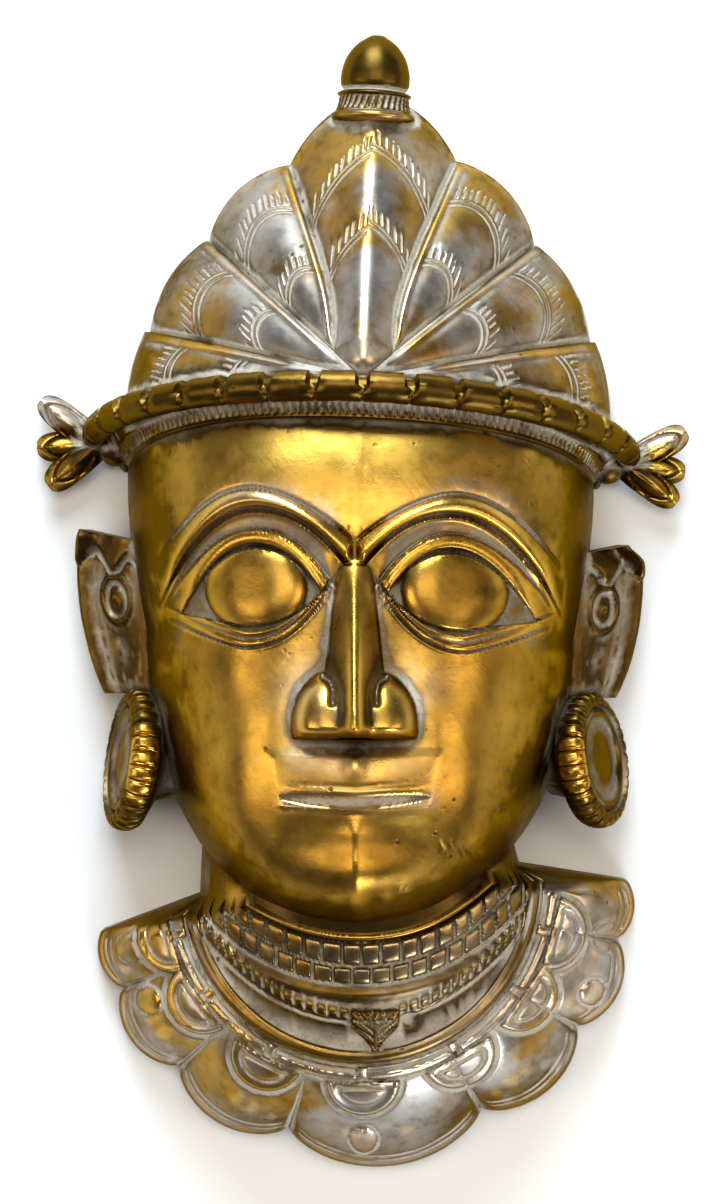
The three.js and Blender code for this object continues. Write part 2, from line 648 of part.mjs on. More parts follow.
// The lean put in by hand: the crown drifts to the right, the collar hardly at all
function leaned(x, y) {
  const { smoothstep } = THREE.MathUtils;
  const bend = y > 0 ? LEAN_ABOVE : LEAN_BELOW;
  const { by, flat, gone, chin, brow } = FEATURE_DRIFT;
  const drift = by * (1 - smoothstep(Math.abs(x), flat, gone)) * smoothstep(y, ...chin) * (1 - smoothstep(y, ...brow));
  const tilt = HAND_TILT.slope * smoothstep(y, ...HAND_TILT.below) * (1 - smoothstep(y, ...HAND_TILT.above));
  return [x + drift + bend * y * y, y - (2 * bend * y + tilt) * x];
}

function maskGeometry() {
  const across = [0.05, 0.35, 0.7, 1];
  const leafRings = [1, 0.92, 0.76, 0.58, 0.4, 0.24];
  const outer = [
    headSolid(0, 38),
    crownSolid(0, across, leafRings),
    collarSolid(0, 3),
    noseSolid(0),
    rollSolid(),
    ribbonSolid(),
    finialSolid(),
    ...neckRowSolids(),
    ...collarOrnaments(),
  ];
  for (const side of [-1, 1]) {
    outer.push(...eyeSolids(side), earSolid(side), discSolid(side), ...blossomSolids(side));
    outer.push(ellipsoid(side * WING.x, WING.y, WING.z, WING.wide, WING.tall, WING.deep, 12, 8));
  }
  const hollow = joined([
    headSolid(WALL, 24),
    crownSolid(WALL, [0.25, 1], [1, 0.85, 0.6, 0.35, 0.16]),
    collarSolid(WALL, 2),
    noseSolid(WALL),
  ]);
  const size = 500;
  const below = new THREE.BoxGeometry(size, size, SINK * 4);
  below.translate(0, 0, -SINK * 2);
  const casting = joined(outer).subtract(mouthCut()).subtract(hollow).subtract(solid(below));
  const mesh = casting.getMesh();
  const points = new Float32Array(mesh.numVert * 3);
  for (let i = 0; i < mesh.numVert; i++) {
    const [x, y, z] = mesh.vertProperties.subarray(i * mesh.numProp, i * mesh.numProp + 3);
    points.set([...leaned(x, y), z], i * 3);
  }
  const geometry = new THREE.BufferGeometry();
  geometry.setAttribute('position', new THREE.BufferAttribute(points, 3));
  geometry.setIndex(new THREE.BufferAttribute(new Uint32Array(mesh.triVerts), 1));
  geometry.computeVertexNormals();
  return geometry;
}

const brass = new THREE.MeshStandardMaterial({ color: 0x8f6a1e, roughness: 0.38, metalness: 1 });
const mask = new THREE.Mesh(maskGeometry(), brass);
mask.name = 'brass_mask';
const model = new THREE.Group();
model.add(mask);

export default model;
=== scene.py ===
"""Looks of the brass deity mask: carved casting, aged brass, pale floor, soft light and the camera.

Millimetres in the shape functions, metres in Blender. +X is the viewer's right, +Y points to the
finial, +Z comes out of the face. The mask lies on its back and the camera looks straight down on it.
"""

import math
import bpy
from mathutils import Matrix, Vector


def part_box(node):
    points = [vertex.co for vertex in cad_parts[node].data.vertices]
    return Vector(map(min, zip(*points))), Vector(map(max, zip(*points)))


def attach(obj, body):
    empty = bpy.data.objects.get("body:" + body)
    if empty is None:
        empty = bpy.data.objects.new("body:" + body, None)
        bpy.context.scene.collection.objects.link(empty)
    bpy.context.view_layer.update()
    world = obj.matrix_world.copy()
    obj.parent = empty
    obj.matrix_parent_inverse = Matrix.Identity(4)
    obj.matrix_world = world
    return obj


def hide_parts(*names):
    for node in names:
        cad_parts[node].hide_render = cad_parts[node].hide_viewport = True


bl_info = {
    "name": "Brass Deity Mask",
    "version": (1, 0, 0),
    "blender": (4, 5, 0),
    "location": "3D View > Sidebar > Mask",
    "description": "Builds a hollow cast brass mask with its aged finish and a plain studio",
    "category": "Object",
}

import bpy
import numpy as np
from bpy.props import FloatProperty, FloatVectorProperty, IntProperty, PointerProperty
from mathutils import Vector

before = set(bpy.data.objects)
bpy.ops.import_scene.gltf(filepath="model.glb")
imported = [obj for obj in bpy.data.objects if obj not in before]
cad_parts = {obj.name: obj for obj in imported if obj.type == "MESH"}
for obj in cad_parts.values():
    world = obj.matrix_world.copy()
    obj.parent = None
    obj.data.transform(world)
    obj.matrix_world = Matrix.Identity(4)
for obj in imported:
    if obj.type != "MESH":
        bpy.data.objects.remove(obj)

# The casting
WALL = 3.2
SINK = 6
LEAN_ABOVE, LEAN_BELOW = 1.95e-4, 0.45e-4
FEATURE_DRIFT = {"by": -1.5, "side": (30, 58), "chin": (-95, -80), "brow": (36, 44)}
HAND_TILT = {"slope": 0.022, "below": (-45, -10), "above": (50, 75)}

# Head; each bump holds x, y, half width, half height and lift, and repeats on the other side
HEAD_Y, HEAD_HALF, HEAD_DOWN, HEAD_UP = -10, 62.8, 83, 95
HEAD_FLARE, HEAD_DEPTH = 0.0027, 76
CURVE_LOW, CURVE_HIGH, CURVE_SIDE, CURVE_CHIN, CURVE_BROW = 2.15, 3.0, 2.6, 14, 3.2
HEAD_BUMPS = [(0, -50, 21, 15, 6), (0, -76, 15, 10, 5), (32, -24, 16, 16, 2.5), (28, 6, 17, 11, -3.5)]

# Eye lines: inner end, crest, outer end, and how each half bends
BROW_TOP = ((1, 16.8), (28, 30.3), (54.8, 12.2), (1.7, 2))
BROW_LOW = ((5.3, 12.8), (27, 24), (55.4, -1.1), (2.2, 2))
LID_TOP = ((6.2, 4.4), (27, 19.1), (52.3, 0.9), (2.2, 2))
LID_LOW = ((8.9, 2.2), (27, 15.2), (47.8, -1.4), (2.2, 2))
RIM_TOP = ((9.3, 2.2), (30, -10.7), (53, -3.2), (2.3, 1.15))
RIM_LOW = ((6.2, 3.8), (30.5, -13.6), (52.1, -7.1), (2.3, 1.3))
EYE_LINES = [RIM_LOW, RIM_TOP, LID_LOW, LID_TOP, BROW_LOW, BROW_TOP]
EYEBALL_SEEN = {"at": (27.6, 3.6), "size": (14.8, 12.8), "rise": 8.0}

# Nose and mouth
NOSE_TOP, NOSE_TIP, NOSE_END = 17, -34, -37.5
BRIDGE_Z, TIP_Z, BRIDGE_HALF, TIP_HALF = 75.5, 96, 4.6, 9.4
WING = {"at": (7.0, -33.0), "size": (10.6, 14.2), "rise": 12.0}
WING_CURL = [(6.0, -27.5), (5.9, -24.4), (6.6, -21.8), (8.6, -20.6)]
MOUTH_Y, MOUTH_HALF, MOUTH_TALL, MOUTH_DIP = -53.4, 20.6, 2.7, 1.4

# Crown
CROWN_Y, CROWN_TOP, CROWN_RIM, CROWN_TOP_RIM, CROWN_SLOPE = 62, 65, 4, 14, 1.25
LEAF_END = [20.3, 48.2, 76.8, 103]
LEAF_START_R = [84, 69, 63.6, 67.2]
LEAF_END_R = [69, 63.1, 65.6, 71.5]
LEAF_SWELL = [0, 3, 1.7, 0.5]
LEAF_BULGE, LEAF_HAND = 0.16, 0.027
CROWN_BACK_R, CROWN_HOLLOW_END = 46, 0.68

# Finial, headband and blossoms
FINIAL = {"z": 20, "y": 138, "neck": 11.9, "waist": 10.2, "waist_y": 147, "bud": 9.9, "tip": 163.3}
BAND_HALF, BAND_DEPTH, BAND_FOOT, BAND_TILT, BAND_SPAN, BAND_BLOCKS = 78.2, 74, 43.2, 0.215, 86, 18
ROLL_R, ROLL_TAPER = 4.4, 0.28
RIBBON = {"drop": 8.6, "proud": 1.5, "side_drop": 10.4, "draw": 0.11, "short": 5}
BLOSSOM = {"inward": 1.5, "below": 1.8, "long": 22.6, "root": 5, "hub": 5.2, "wide": 8.8, "deep": 3.4}
PETALS = [(36, 0.8, 1.14), (-4, 0, 1), (-40, 1.5, 1.04)]
BLOSSOM_HAND = 0.88

# Ears and ear discs
EAR = {"root_x": 58, "root_z": 20, "root_top": 14.5, "tip_y": 18.8, "foot_y": -27,
       "lobe_x": 75, "out_x": 81.8, "out_z": 8}
EAR_TIP = {-1: 0.8, 1: 4.5}
EAR_THICK, EAR_RIM = 3.6, 2.2
DISC = {"y": -45.4, "z": 21.6, "r": 20, "thick": 9, "lean": 8.5, "beads": 14}
DISC_SIDE = {-1: (65.4, 15), 1: (66.5, 24)}
STUB_R, STUB_LONG = 11, 13

# Neck and collar
NECK_Y, NECK_FOOT, NECK_RISE, NECK_LEAN = -78.5, 6, 38, 0.22
NECK_HALF, NECK_WAIST, WAIST_FROM, WAIST_TO = 54, 45.5, -88, -78
TORQUE_R, TORQUE_WIDE, TORQUE_RISE = 49.5, 4.2, 2.4
COLLAR_RIM, COLLAR_R, COLLAR_TURN, COLLAR_DROP, COLLAR_ROUND, SHOULDER_DRAW = 3.6, 76.8, 5, 1.7, 0.8, 1.5
SCALLOP_END = [21.4, 48.8, 69.6, 83]
SCALLOP_SWELL = [9.4, 7.2, 6.2, 3.6]
NECK_LINES = [(-95.2, -76.3, 43.6), (-102, -80.5, 45.2), (-107.4, -86.1, 47.3), (-116.5, -87.6, 49.1)]
CRESCENT_R, CRESCENT_TURNS = 61.8, [0, 28.6, 53.5, 73.2]
BUDS = [(-61.4, -113.7, 1.5), (66.4, -113.3, 1.5), (-66.5, -99, 0), (70.8, -97.5, 0)]
DROP_Y = -153.5
PENDANT = (3.6, -119.4)

# Zones of the finish: levels over the headband's leaning plane, then limits in the plan
CROWN_LEVEL, BAND_LEVEL, ROLL_LEVEL = (45.5, 47.5), (33.2, 35.2), (38.5, 40.5)
BAND_SLOPE, BAND_REACH = 0.036, 84
MASK_CELL, SKIN_BLUR, CUT_BLUR, BOWL_BLUR = 0.4, 0.8, 1.1, 4.5

# Light colours
WINDOW_TINT, DOORWAY_TINT = (0.7, 0.85, 1.0), (0.82, 0.91, 1.0)
OVERHEAD_TINT, WALL_TINT = (1.0, 0.93, 0.82), (1.0, 0.86, 0.66)

# Share of dust, grey bloom and brown film that each zone of the mask holds; the grey share of the brow arch is
# a painted cool sheen
DUST_SHARE = {"crown": 0.9, "ribbon": 0.4, "ear": 0.55, "disc": 0.3, "eyes": 0.4}
GREY_SHARE = {"crown": 0.9, "throat": 0.5, "patch": 0.4, "ear": 0.15, "arch": 0.6}
FILM_SHARE = {"band": 1.5, "ear": 1.5, "disc": 1.5, "throat": 1.1, "bud": 1.6, "crown": 0.3, "collar": 0.2}


# Small helpers


def smooth(v, low, high):
    t = np.clip((np.asarray(v, float) - low) / (high - low), 0, 1)
    return t * t * (3 - 2 * t)


def mix(a, b, t):
    return a + (b - a) * t


def swell(v, width):
    return np.exp(-((v / width) ** 2))


def dashes(v, pitch, sharp=2.0):
    """Rounded teeth, one for each pitch along v, from 0 to 1."""
    return (0.5 + 0.5 * np.cos(2 * np.pi * v / pitch)) ** sharp


def waver(v, seed=0.0):
    """A slow uneven drift from -1 to 1, so that repeated cuts look made by hand."""
    waves = ((0.83, 1, 0.5), (1.97, 2.3, 0.3), (3.31, 0.7, 0.2))
    return sum(np.sin(v * pace + seed * shift) * height for pace, shift, height in waves)


def even_spread(x, y, count, closed=False):
    """Parameters that walk a plane curve at even steps, as fractional places in its arrays."""
    length = np.concatenate([[0], np.cumsum(np.hypot(np.diff(x), np.diff(y)))])
    steps = np.arange(count) / count if closed else np.linspace(0, 1, count)
    return np.interp(steps * length[-1], length, np.arange(len(x)))


def skin(rings):
    """Vertices and triangles of a closed mesh over closed rings, each end drawn to its middle point."""
    rings = np.asarray(rings, float)
    rows, columns = rings.shape[:2]
    verts = np.concatenate([rings.reshape(-1, 3), rings[:1].mean(1), rings[-1:].mean(1)])
    a = np.arange(rows * columns).reshape(rows, columns)
    b = np.roll(a, -1, axis=1)
    first, last = rows * columns, rows * columns + 1
    faces = [
        np.stack([a[:-1], b[:-1], b[1:]], -1).reshape(-1, 3),
        np.stack([a[:-1], b[1:], a[1:]], -1).reshape(-1, 3),
        np.stack([b[0], a[0], np.full(columns, first)], -1),
        np.stack([a[-1], b[-1], np.full(columns, last)], -1),
    ]
    faces = np.concatenate(faces)
    p, q, r = (verts[faces[:, i]] for i in range(3))
    volume = (p * np.cross(q, r)).sum()
    if not np.isfinite(volume):
        raise RuntimeError("a shape has a point that isn't a number")
    if volume < 0:
        faces = faces[:, ::-1]
    return verts, faces


def dome(rings, foot=-SINK):
    base = rings[:1].copy()
    base[..., 2] = foot
    return skin(np.concatenate([base, rings]))


def together(parts):
    """Several closed meshes that don't touch, as one."""
    verts, faces, start = [], [], 0
    for v, f in parts:
        verts.append(v)
        faces.append(f + start)
        start += len(v)
    return np.concatenate(verts), np.concatenate(faces)


def ball(at, size, columns=72, rows=48):
    around = np.arange(columns) / columns * 2 * np.pi
    down = np.linspace(0.03, np.pi - 0.03, rows)[:, None]
    across = np.sin(down)
    sphere = np.stack([across * np.cos(around), across * np.sin(around), np.cos(down) + 0 * around], -1)
    return skin(sphere * np.array(size) + np.array(at))


# Head


def head_share(x, y):
    dy = y - HEAD_Y
    wide = np.abs(x) / (HEAD_HALF * (1 + HEAD_FLARE * np.maximum(dy, 0)))
    tall = np.abs(dy) / np.where(dy > 0, HEAD_UP, HEAD_DOWN)
    power = np.where(dy > 0, CURVE_HIGH, CURVE_LOW)
    return (wide**power + tall**power) ** (1 / power)


def head_height(x, y, inset=0.0):
    dy = y - HEAD_Y
    share = np.minimum(head_share(x, y), 1)
    rise = np.abs(dy) / np.maximum(np.hypot(x, dy), 1e-9)
    power = mix(CURVE_SIDE, np.where(dy > 0, CURVE_BROW, CURVE_CHIN), rise**5)
    z = HEAD_DEPTH * np.sqrt(np.maximum(1 - share**power, 0))
    for bx, by, wide, tall, lift in HEAD_BUMPS:
        z = z + lift * swell(np.hypot((np.abs(x) - bx) / wide, (y - by) / tall), 1) * (1 - share**8)
    return z - inset


def line_y(line, x):
    (ix, iy), (cx, cy), (ox, oy), (bi, bo) = line
    inner = x < cx
    run = np.clip(np.where(inner, (cx - x) / (cx - ix), (x - cx) / (ox - cx)), 0, 1.12)
    return cy - (cy - np.where(inner, iy, oy)) * run ** np.where(inner, bi, bo)


def line_gap(line, x, y):
    slope = (line_y(line, x + 0.3) - line_y(line, x - 0.3)) / 0.6
    return (y - line_y(line, x)) / np.sqrt(1 + slope**2)


def line_span(line, x, soft=2.2):
    start, end, short = line[0][0], line[2][0], soft * 0.4
    return smooth(x, start - soft, start + short) * (1 - smooth(x, end - short, end + soft))


# Relief across the stack of eye lines, from under the lower rim to above the brow
EYE_PROFILE = [
    # Lower rim roll, then the step down to the eye opening
    (0, 0), (0.1, -0.5), (0.25, 0.3), (0.5, 0.8), (0.8, 0.6), (0.94, -0.2),
    (1, 0.2), (1.02, 1.0), (1.06, 1.3), (1.11, 1.1), (1.14, -0.9), (1.2, -1.2), (1.92, -1.2), (1.96, -1.0),
    # Upper lid
    (2, 0.4), (2.08, 1.5), (2.2, 1.8), (2.5, 1.9), (2.84, 1.2), (2.94, 0.1),
    # Hollow between lid and brow
    (3, 0.3), (3.08, -0.7), (3.3, -1.0), (3.6, -1.0), (3.85, -0.6), (3.95, 0.1),
    # Brow arch
    (4, 0.2), (4.05, -0.9), (4.12, -0.5), (4.22, 0.9), (4.34, 2.2), (4.48, 2.9), (4.66, 2.7), (4.85, 1.8),
    (4.96, 0.9), (5, -0.2),
]
EYE_LEVELS, EYE_RELIEF = np.array(EYE_PROFILE, float).T


def eye_relief(x, y):
    ax = np.abs(x)
    level = np.zeros_like(ax)
    for lower, upper in zip(EYE_LINES[:-1], EYE_LINES[1:]):
        low, high = line_y(lower, ax), line_y(upper, ax)
        level += np.clip((y - low) / np.maximum(high - low, 0.7), 0, 1)
    inner = smooth(ax, 5.5, 10)
    outer = 1 - smooth(ax, 45, 54)
    z = np.interp(level, EYE_LEVELS, EYE_RELIEF)
    brow = smooth(level, 3.98, 4.1)
    z = z * mix(inner * outer, smooth(ax, 0.2, 2.5) * (1 - smooth(ax, 52, 57)), brow)
    for line, depth in zip(EYE_LINES, (0.4, 0.4, 0.0, 0.5, 0.5, 0.6)):
        gap = line_gap(line, ax, y)
        z += line_span(line, ax) * (0.3 * swell(gap + 0.25, 0.45) - depth * swell(gap - 0.55, 0.45))
    (bx, by), (wide, tall) = EYEBALL_SEEN["at"], EYEBALL_SEEN["size"]
    globe = np.sqrt(np.clip(1 - ((ax - bx) / wide) ** 2 - ((y - by) / tall) ** 2, 0, 1))
    opening = smooth(level, 1.12, 1.15) * (1 - smooth(level, 1.94, 1.98)) * inner * outer
    return z + EYEBALL_SEEN["rise"] * globe * opening


def mouth_relief(x, y):
    share = np.clip(np.abs(x) / MOUTH_HALF, 0, 1)
    open_half = np.maximum(np.cos(share * np.pi / 2) ** 0.6, 0.1) * MOUTH_TALL * 0.5
    gap = y - (MOUTH_Y - MOUTH_DIP * (1 - share))
    inside = 1 - smooth(np.abs(x), MOUTH_HALF - 0.6, MOUTH_HALF + 0.4)
    z = -1.4 * (1 - smooth(np.abs(gap), open_half - 0.45, open_half + 0.35)) * inside
    near = 1 - smooth(np.abs(x), 14, 23)
    z += (0.4 * swell(gap - 2.8, 1.4) + 0.5 * swell(gap + 3.8, 2.4)) * near
    z += 0.35 * swell(gap + 2.0, 0.5) * inside - 0.3 * swell(gap - 4.3, 0.6) * near
    tablet = 1 - smooth(np.abs(x) - 0.16 * (y + 52), 20.5, 24.5)
    z += 0.8 * tablet * smooth(y, -68, -58) * (1 - smooth(y, -43, -39))
    z += 1.1 * swell(x, 2.6) * swell(y + 44, 4.2)
    return z


def face_relief(x, y):
    z = eye_relief(x, y) + mouth_relief(x, y)
    keel = smooth(-y, 57, 64) * (1 - smooth(-y, 90, 94))
    z += 3.4 * np.exp(-np.sqrt(x * x + 1.4) / 5.5) * keel
    # Rows of shallow cuts on the cheek, in the place of the worn inscription
    row = swell(y + 66.5 + 0.34 * (x - 22), 1.7) * smooth(x, 22, 23.5) * (1 - smooth(x, 35, 36.5))
    z -= 0.28 * row * dashes(x + 0.5 * (y + 70) + 0.5 * waver(x, 2), 2.1, 4)
    low = swell(y + 79 - 0.1 * (x - 10), 0.9) * smooth(x, 10, 11) * (1 - smooth(x, 14, 15))
    z -= 0.28 * low * dashes(x - 0.4 * y, 1.8, 4)
    # Hand finish: faint file flats and casting unevenness
    z += 0.07 * waver(x * 0.21, 1) * waver(y * 0.19, 4)
    return z


def head_rings(inset, columns, rows):
    turn = np.linspace(0, 2 * np.pi, 6001)
    c, s = np.cos(turn), np.sin(turn)
    power = 2 / np.where(s > 0, CURVE_HIGH, CURVE_LOW)
    u, v = np.sign(c) * np.abs(c) ** power, np.sign(s) * np.abs(s) ** power
    at = even_spread(u * HEAD_HALF, v * np.where(s > 0, HEAD_UP, HEAD_DOWN), columns, closed=True)
    u, v = np.interp(at, np.arange(len(u)), u), np.interp(at, np.arange(len(v)), v)
    profile = np.linspace(1, 0.01, 3000)
    at = even_spread(profile * 80, HEAD_DEPTH * np.sqrt(1 - profile**3.2), rows)
    share = np.interp(at, np.arange(len(profile)), profile)[:, None]
    reach = np.where(v > 0, HEAD_UP, HEAD_DOWN) - inset
    dy = share * v * reach
    x = share * u * (HEAD_HALF - inset) * (1 + HEAD_FLARE * np.maximum(dy, 0))
    grow = 1 + inset / HEAD_HALF
    z = head_height(x * grow, HEAD_Y + dy * grow, inset)
    if inset == 0:
        z = z + face_relief(x, HEAD_Y + dy) * (1 - smooth(share, 0.93, 0.985))
    z = np.where(share >= 1, -SINK * 0.5, np.maximum(z, -SINK * 0.5))
    return np.stack([x, HEAD_Y + dy, z], -1)


def nose_core(inset):
    """The plain nose of the hollow side."""
    share = np.append(np.linspace(0, 1, 12), 1.07)
    y = mix(NOSE_TOP, NOSE_TIP, share)
    crest = mix(BRIDGE_Z, TIP_Z - 3, np.minimum(share, 1) ** 1.25)[:, None]
    half = mix(BRIDGE_HALF, TIP_HALF, share**2)[:, None]
    across = np.linspace(-1.5, 1.5, 14)
    lift = np.interp(np.abs(across), [0, 0.72, 1.12, 1.5], [1, 0.82, 0.45, 0])
    foot = HEAD_DEPTH - 14 - inset
    x = across * (half - inset * 0.9)
    return skin(np.stack([x, np.broadcast_to(y[:, None], x.shape), mix(foot, crest - inset, lift)], -1))


def nose_lift(x, y):
    """Height of nose and wings over the face: a keeled ridge, two lobes, and the curl between them."""
    share = np.clip((NOSE_TOP - y) / (NOSE_TOP - NOSE_TIP), 0, 1)
    rise = np.maximum(mix(BRIDGE_Z, TIP_Z, share**1.25) - head_height(0 * x, y), 0)
    across = np.clip(np.abs(x) / mix(6.6, 10.6, share**1.8), 0, 1)
    slope = (np.sqrt(across**2 + 0.05) - 0.2236) / (math.sqrt(1.05) - 0.2236)
    ridge = rise * smooth(share, -0.06, 0.25) * np.clip(1 - slope, 0, 1) ** 1.15
    q = np.hypot((np.abs(x) - WING["at"][0]) / WING["size"][0], (y - WING["at"][1]) / WING["size"][1])
    lobe = WING["rise"] * np.clip(1 - q**2.4, 0, 1) ** 0.62
    blend = 3.0
    both = np.clip(0.5 + 0.5 * (ridge - lobe) / blend, 0, 1)
    lift = mix(lobe, ridge, both) + blend * both * (1 - both)
    lift = lift * smooth(np.maximum(ridge, lobe), 0.0, 1.6)
    curl = np.array(WING_CURL)
    path = np.linspace(0, len(curl) - 1, 40)
    px, py = (np.interp(path, np.arange(len(curl)), curl[:, i]) for i in (0, 1))
    gap = np.min(np.hypot(np.abs(x)[..., None] - px, y[..., None] - py), -1)
    lift = lift - 1.9 * swell(gap, 0.8) * smooth(lift, 0.5, 2.5)
    under = np.sqrt(np.clip(1 - (np.maximum(NOSE_TIP + 0.4 - y, 0) / 3.9) ** 2, 0, 1))
    return lift * under


def nose_mesh(step):
    x = np.arange(-21, 21 + step, step)[None, :]
    y = np.arange(NOSE_END - 1, NOSE_TOP + 3, step)[:, None]
    x, y = np.broadcast_arrays(x, y)
    lift = nose_lift(x, y)
    z = head_height(x, y) + face_relief(x, y) + lift - 0.9 * (1 - smooth(lift, 0.0, 0.7))
    foot = np.full((len(y), 1), HEAD_DEPTH - 14.0)
    rows = np.stack([x, y, z], -1)
    end = np.stack([x[:, -1:], y[:, -1:], foot], -1)
    start = np.stack([x[:, :1], y[:, :1], foot], -1)
    return skin(np.concatenate([rows, end, start], 1))


# Crown


def leaf_edge(leaf, r):
    if leaf < 0:
        return np.zeros_like(r)
    spread = 27 * np.exp(-np.maximum(r - 11, 0) / 6) if leaf == 0 else 0
    return LEAF_END[leaf] + spread + 0 * r


def leaf_radius(leaf, run):
    eased = run**1.6 if leaf == 0 else run
    return mix(LEAF_START_R[leaf], LEAF_END_R[leaf], eased) + LEAF_SWELL[leaf] * np.sin(np.pi * run) ** 0.8


def leaf_relief(leaf, run, share, wide):
    if leaf == 0:
        shape = 1 - (np.sqrt(run**2 + 0.03) - 0.1731) ** 1.4
    else:
        shape = 0.8 * (1 - np.abs(2 * run - 1) ** 2.2) + 0.35 * (1 - run)
    return LEAF_BULGE * wide * shape * (1 - 0.8 * share**8)


def leaf_marks(leaf, run, share, reach, wide, side):
    """Carving on one leaf: rolled edge, keel, and two double lines with a fringe of strokes."""
    along = run * wide
    r = share * reach
    z = np.zeros_like(r)
    if leaf == 0:
        z += 1.2 * swell(along, 4.6) * smooth(r, 1, 6)
        ends = smooth(wide - along, 1.0, 2.2)
        lines = [(0.80 - 0.1 * run, 4.6), (0.525 - 0.075 * run, 4.4)]
    else:
        z += 1.0 * swell(along - 1.7, 1.25) * smooth(r, 9, 20) * (1 - smooth(share, 0.985, 1))
        ends = smooth(along, 2.6, 4.0) * smooth(wide - along, 0.8, 2.0)
        bow = np.sin(np.pi * run**0.85) ** 0.8
        lines = [(0.75 + 0.095 * bow, 4.6), (0.47 + 0.08 * bow, 4.0)]
    z -= 0.7 * swell(wide - along, 0.7) * smooth(r, 9, 16)
    for seed, (middle, tall) in enumerate(lines):
        middle = middle + 0.012 * side
        gap = (share - middle) * reach
        z -= 0.55 * ends * (swell(gap, 0.4) + swell(gap + 1.7, 0.4))
        tall = tall * (1 + 0.22 * waver(along * 1.6, seed + leaf))
        window = smooth(gap, 0.5, 1.0) * (1 - smooth(gap, tall - 0.8, tall))
        phase = along + 0.35 * waver(along * 0.9, 3 * seed + leaf + side) + 0.08 * gap
        z -= 0.62 * ends * window * dashes(phase, 1.95, 2.2)
    return z


def crown_base(share, turn):
    face = np.maximum(np.cos(turn), 0)
    rim = CROWN_RIM + (CROWN_TOP_RIM - CROWN_RIM) * face**2
    return rim + (CROWN_TOP - rim) * (1 - np.minimum(share, 1) ** CROWN_SLOPE) ** (1 - 0.38 * (1 - face))


def crown_rings(inset, per_leaf, rows):
    profile = np.linspace(1, 0.02, 3000)
    at = even_spread(profile * 68, CROWN_TOP * (1 - profile**CROWN_SLOPE) ** 0.9, rows)
    share = np.interp(at, np.arange(len(profile)), profile)[:, None]

    def half(side):
        blocks = []
        for leaf, count in enumerate(per_leaf):
            last = CROWN_HOLLOW_END if inset > 0 and leaf == 3 else 1
            run = (np.arange(count) + (0.05 if leaf == 0 else 0.5)) / (count - 0.5) * last
            run = np.minimum(run, last)[None, :]
            reach = leaf_radius(leaf, run) * (1 + side * LEAF_HAND * np.minimum(leaf + run, 1)) - inset
            r = share * reach
            before, after = leaf_edge(leaf - 1, r), leaf_edge(leaf, r)
            turn = np.radians(mix(before, after, run))
            wide = np.radians(after - before) * r
            z = crown_base(share, turn) - inset
            if inset == 0:
                z = z + leaf_relief(leaf, run, share, wide * (2 if leaf == 0 else 1))
                z = z + leaf_marks(leaf, run, share, reach, wide, side) * (1 - smooth(share, 0.97, 1))
            blocks.append(np.stack([side * r * np.sin(turn), CROWN_Y + r * np.cos(turn), z], -1))
        return np.concatenate(blocks, 1)

    right, left = half(1), half(-1)[:, ::-1]
    behind = np.radians([112, 132, 155, 180, 205, 228, 248])
    r = share * (CROWN_BACK_R - inset)
    z = crown_base(share, math.pi / 2) - inset + 0 * behind
    back = np.stack([r * np.sin(behind), CROWN_Y + r * np.cos(behind), z], -1)
    return np.concatenate([right, back, left], 1)


def finial_mesh():
    f = FINIAL
    bud = f["tip"] - f["waist_y"]
    foot, waist = f["y"], f["waist_y"]
    profile = [
        (foot - 2, f["neck"] * 0.6), (foot - 1.2, f["neck"] * 0.8), (foot + 0.2, f["neck"] - 0.2),
        (foot + 1.4, f["neck"]), (foot + 2.4, f["neck"] - 0.8), (waist - 2.6, f["waist"]),
        (waist - 1.4, f["waist"] + 0.3), (waist - 0.4, f["waist"] * 0.86), (waist + 0.4, f["bud"] * 0.95),
    ]
    swells = [(0.2, 1), (0.4, 0.95), (0.62, 0.8), (0.83, 0.5), (0.95, 0.2)]
    profile += [(waist + bud * share, f["bud"] * size) for share, size in swells]
    h, r = np.array(profile).T
    at = np.linspace(h[0], h[-1], 110)
    slope = np.gradient(r, h)
    cell = np.clip(np.searchsorted(h, at) - 1, 0, len(h) - 2)
    d = h[cell + 1] - h[cell]
    t = (at - h[cell]) / d
    bent = ((2 * t**3 - 3 * t**2 + 1) * r[cell] + (t**3 - 2 * t**2 + t) * d * slope[cell]
            + (3 * t**2 - 2 * t**3) * r[cell + 1] + (t**3 - t**2) * d * slope[cell + 1])
    around = np.arange(180) / 180 * 2 * np.pi
    hatch = smooth(at, foot + 2.4, foot + 3.2) * (1 - smooth(at, waist - 3.0, waist - 2.2))
    cut = 0.55 * hatch[:, None] * dashes(around / (2 * np.pi) * 32 + 0.16 * (at[:, None] - foot), 1, 2)
    cut = cut + 0.35 * (swell(at - waist + 2.4, 0.4) + swell(at - foot - 2.2, 0.4))[:, None]
    radius = np.maximum(bent, 0.8)[:, None] - cut
    y = np.broadcast_to(at[:, None], radius.shape)
    return skin(np.stack([radius * np.cos(around), y, f["z"] + radius * np.sin(around)], -1))


# Headband


def band_point(turn, out=0.0):
    x = (BAND_HALF + out) * np.sin(turn)
    z = (BAND_DEPTH + out) * np.cos(turn)
    return np.stack([x, BAND_FOOT + BAND_TILT * z, z], -1)


def unit(v):
    return v / np.linalg.norm(v, axis=-1, keepdims=True)


def band_frame(turn):
    out = unit(np.stack([np.sin(turn) / BAND_HALF, 0 * turn, np.cos(turn) / BAND_DEPTH], -1))
    along = unit(np.stack([np.cos(turn) * BAND_HALF, 0 * turn, -np.sin(turn) * BAND_DEPTH], -1))
    return out, unit(np.cross(out, along))


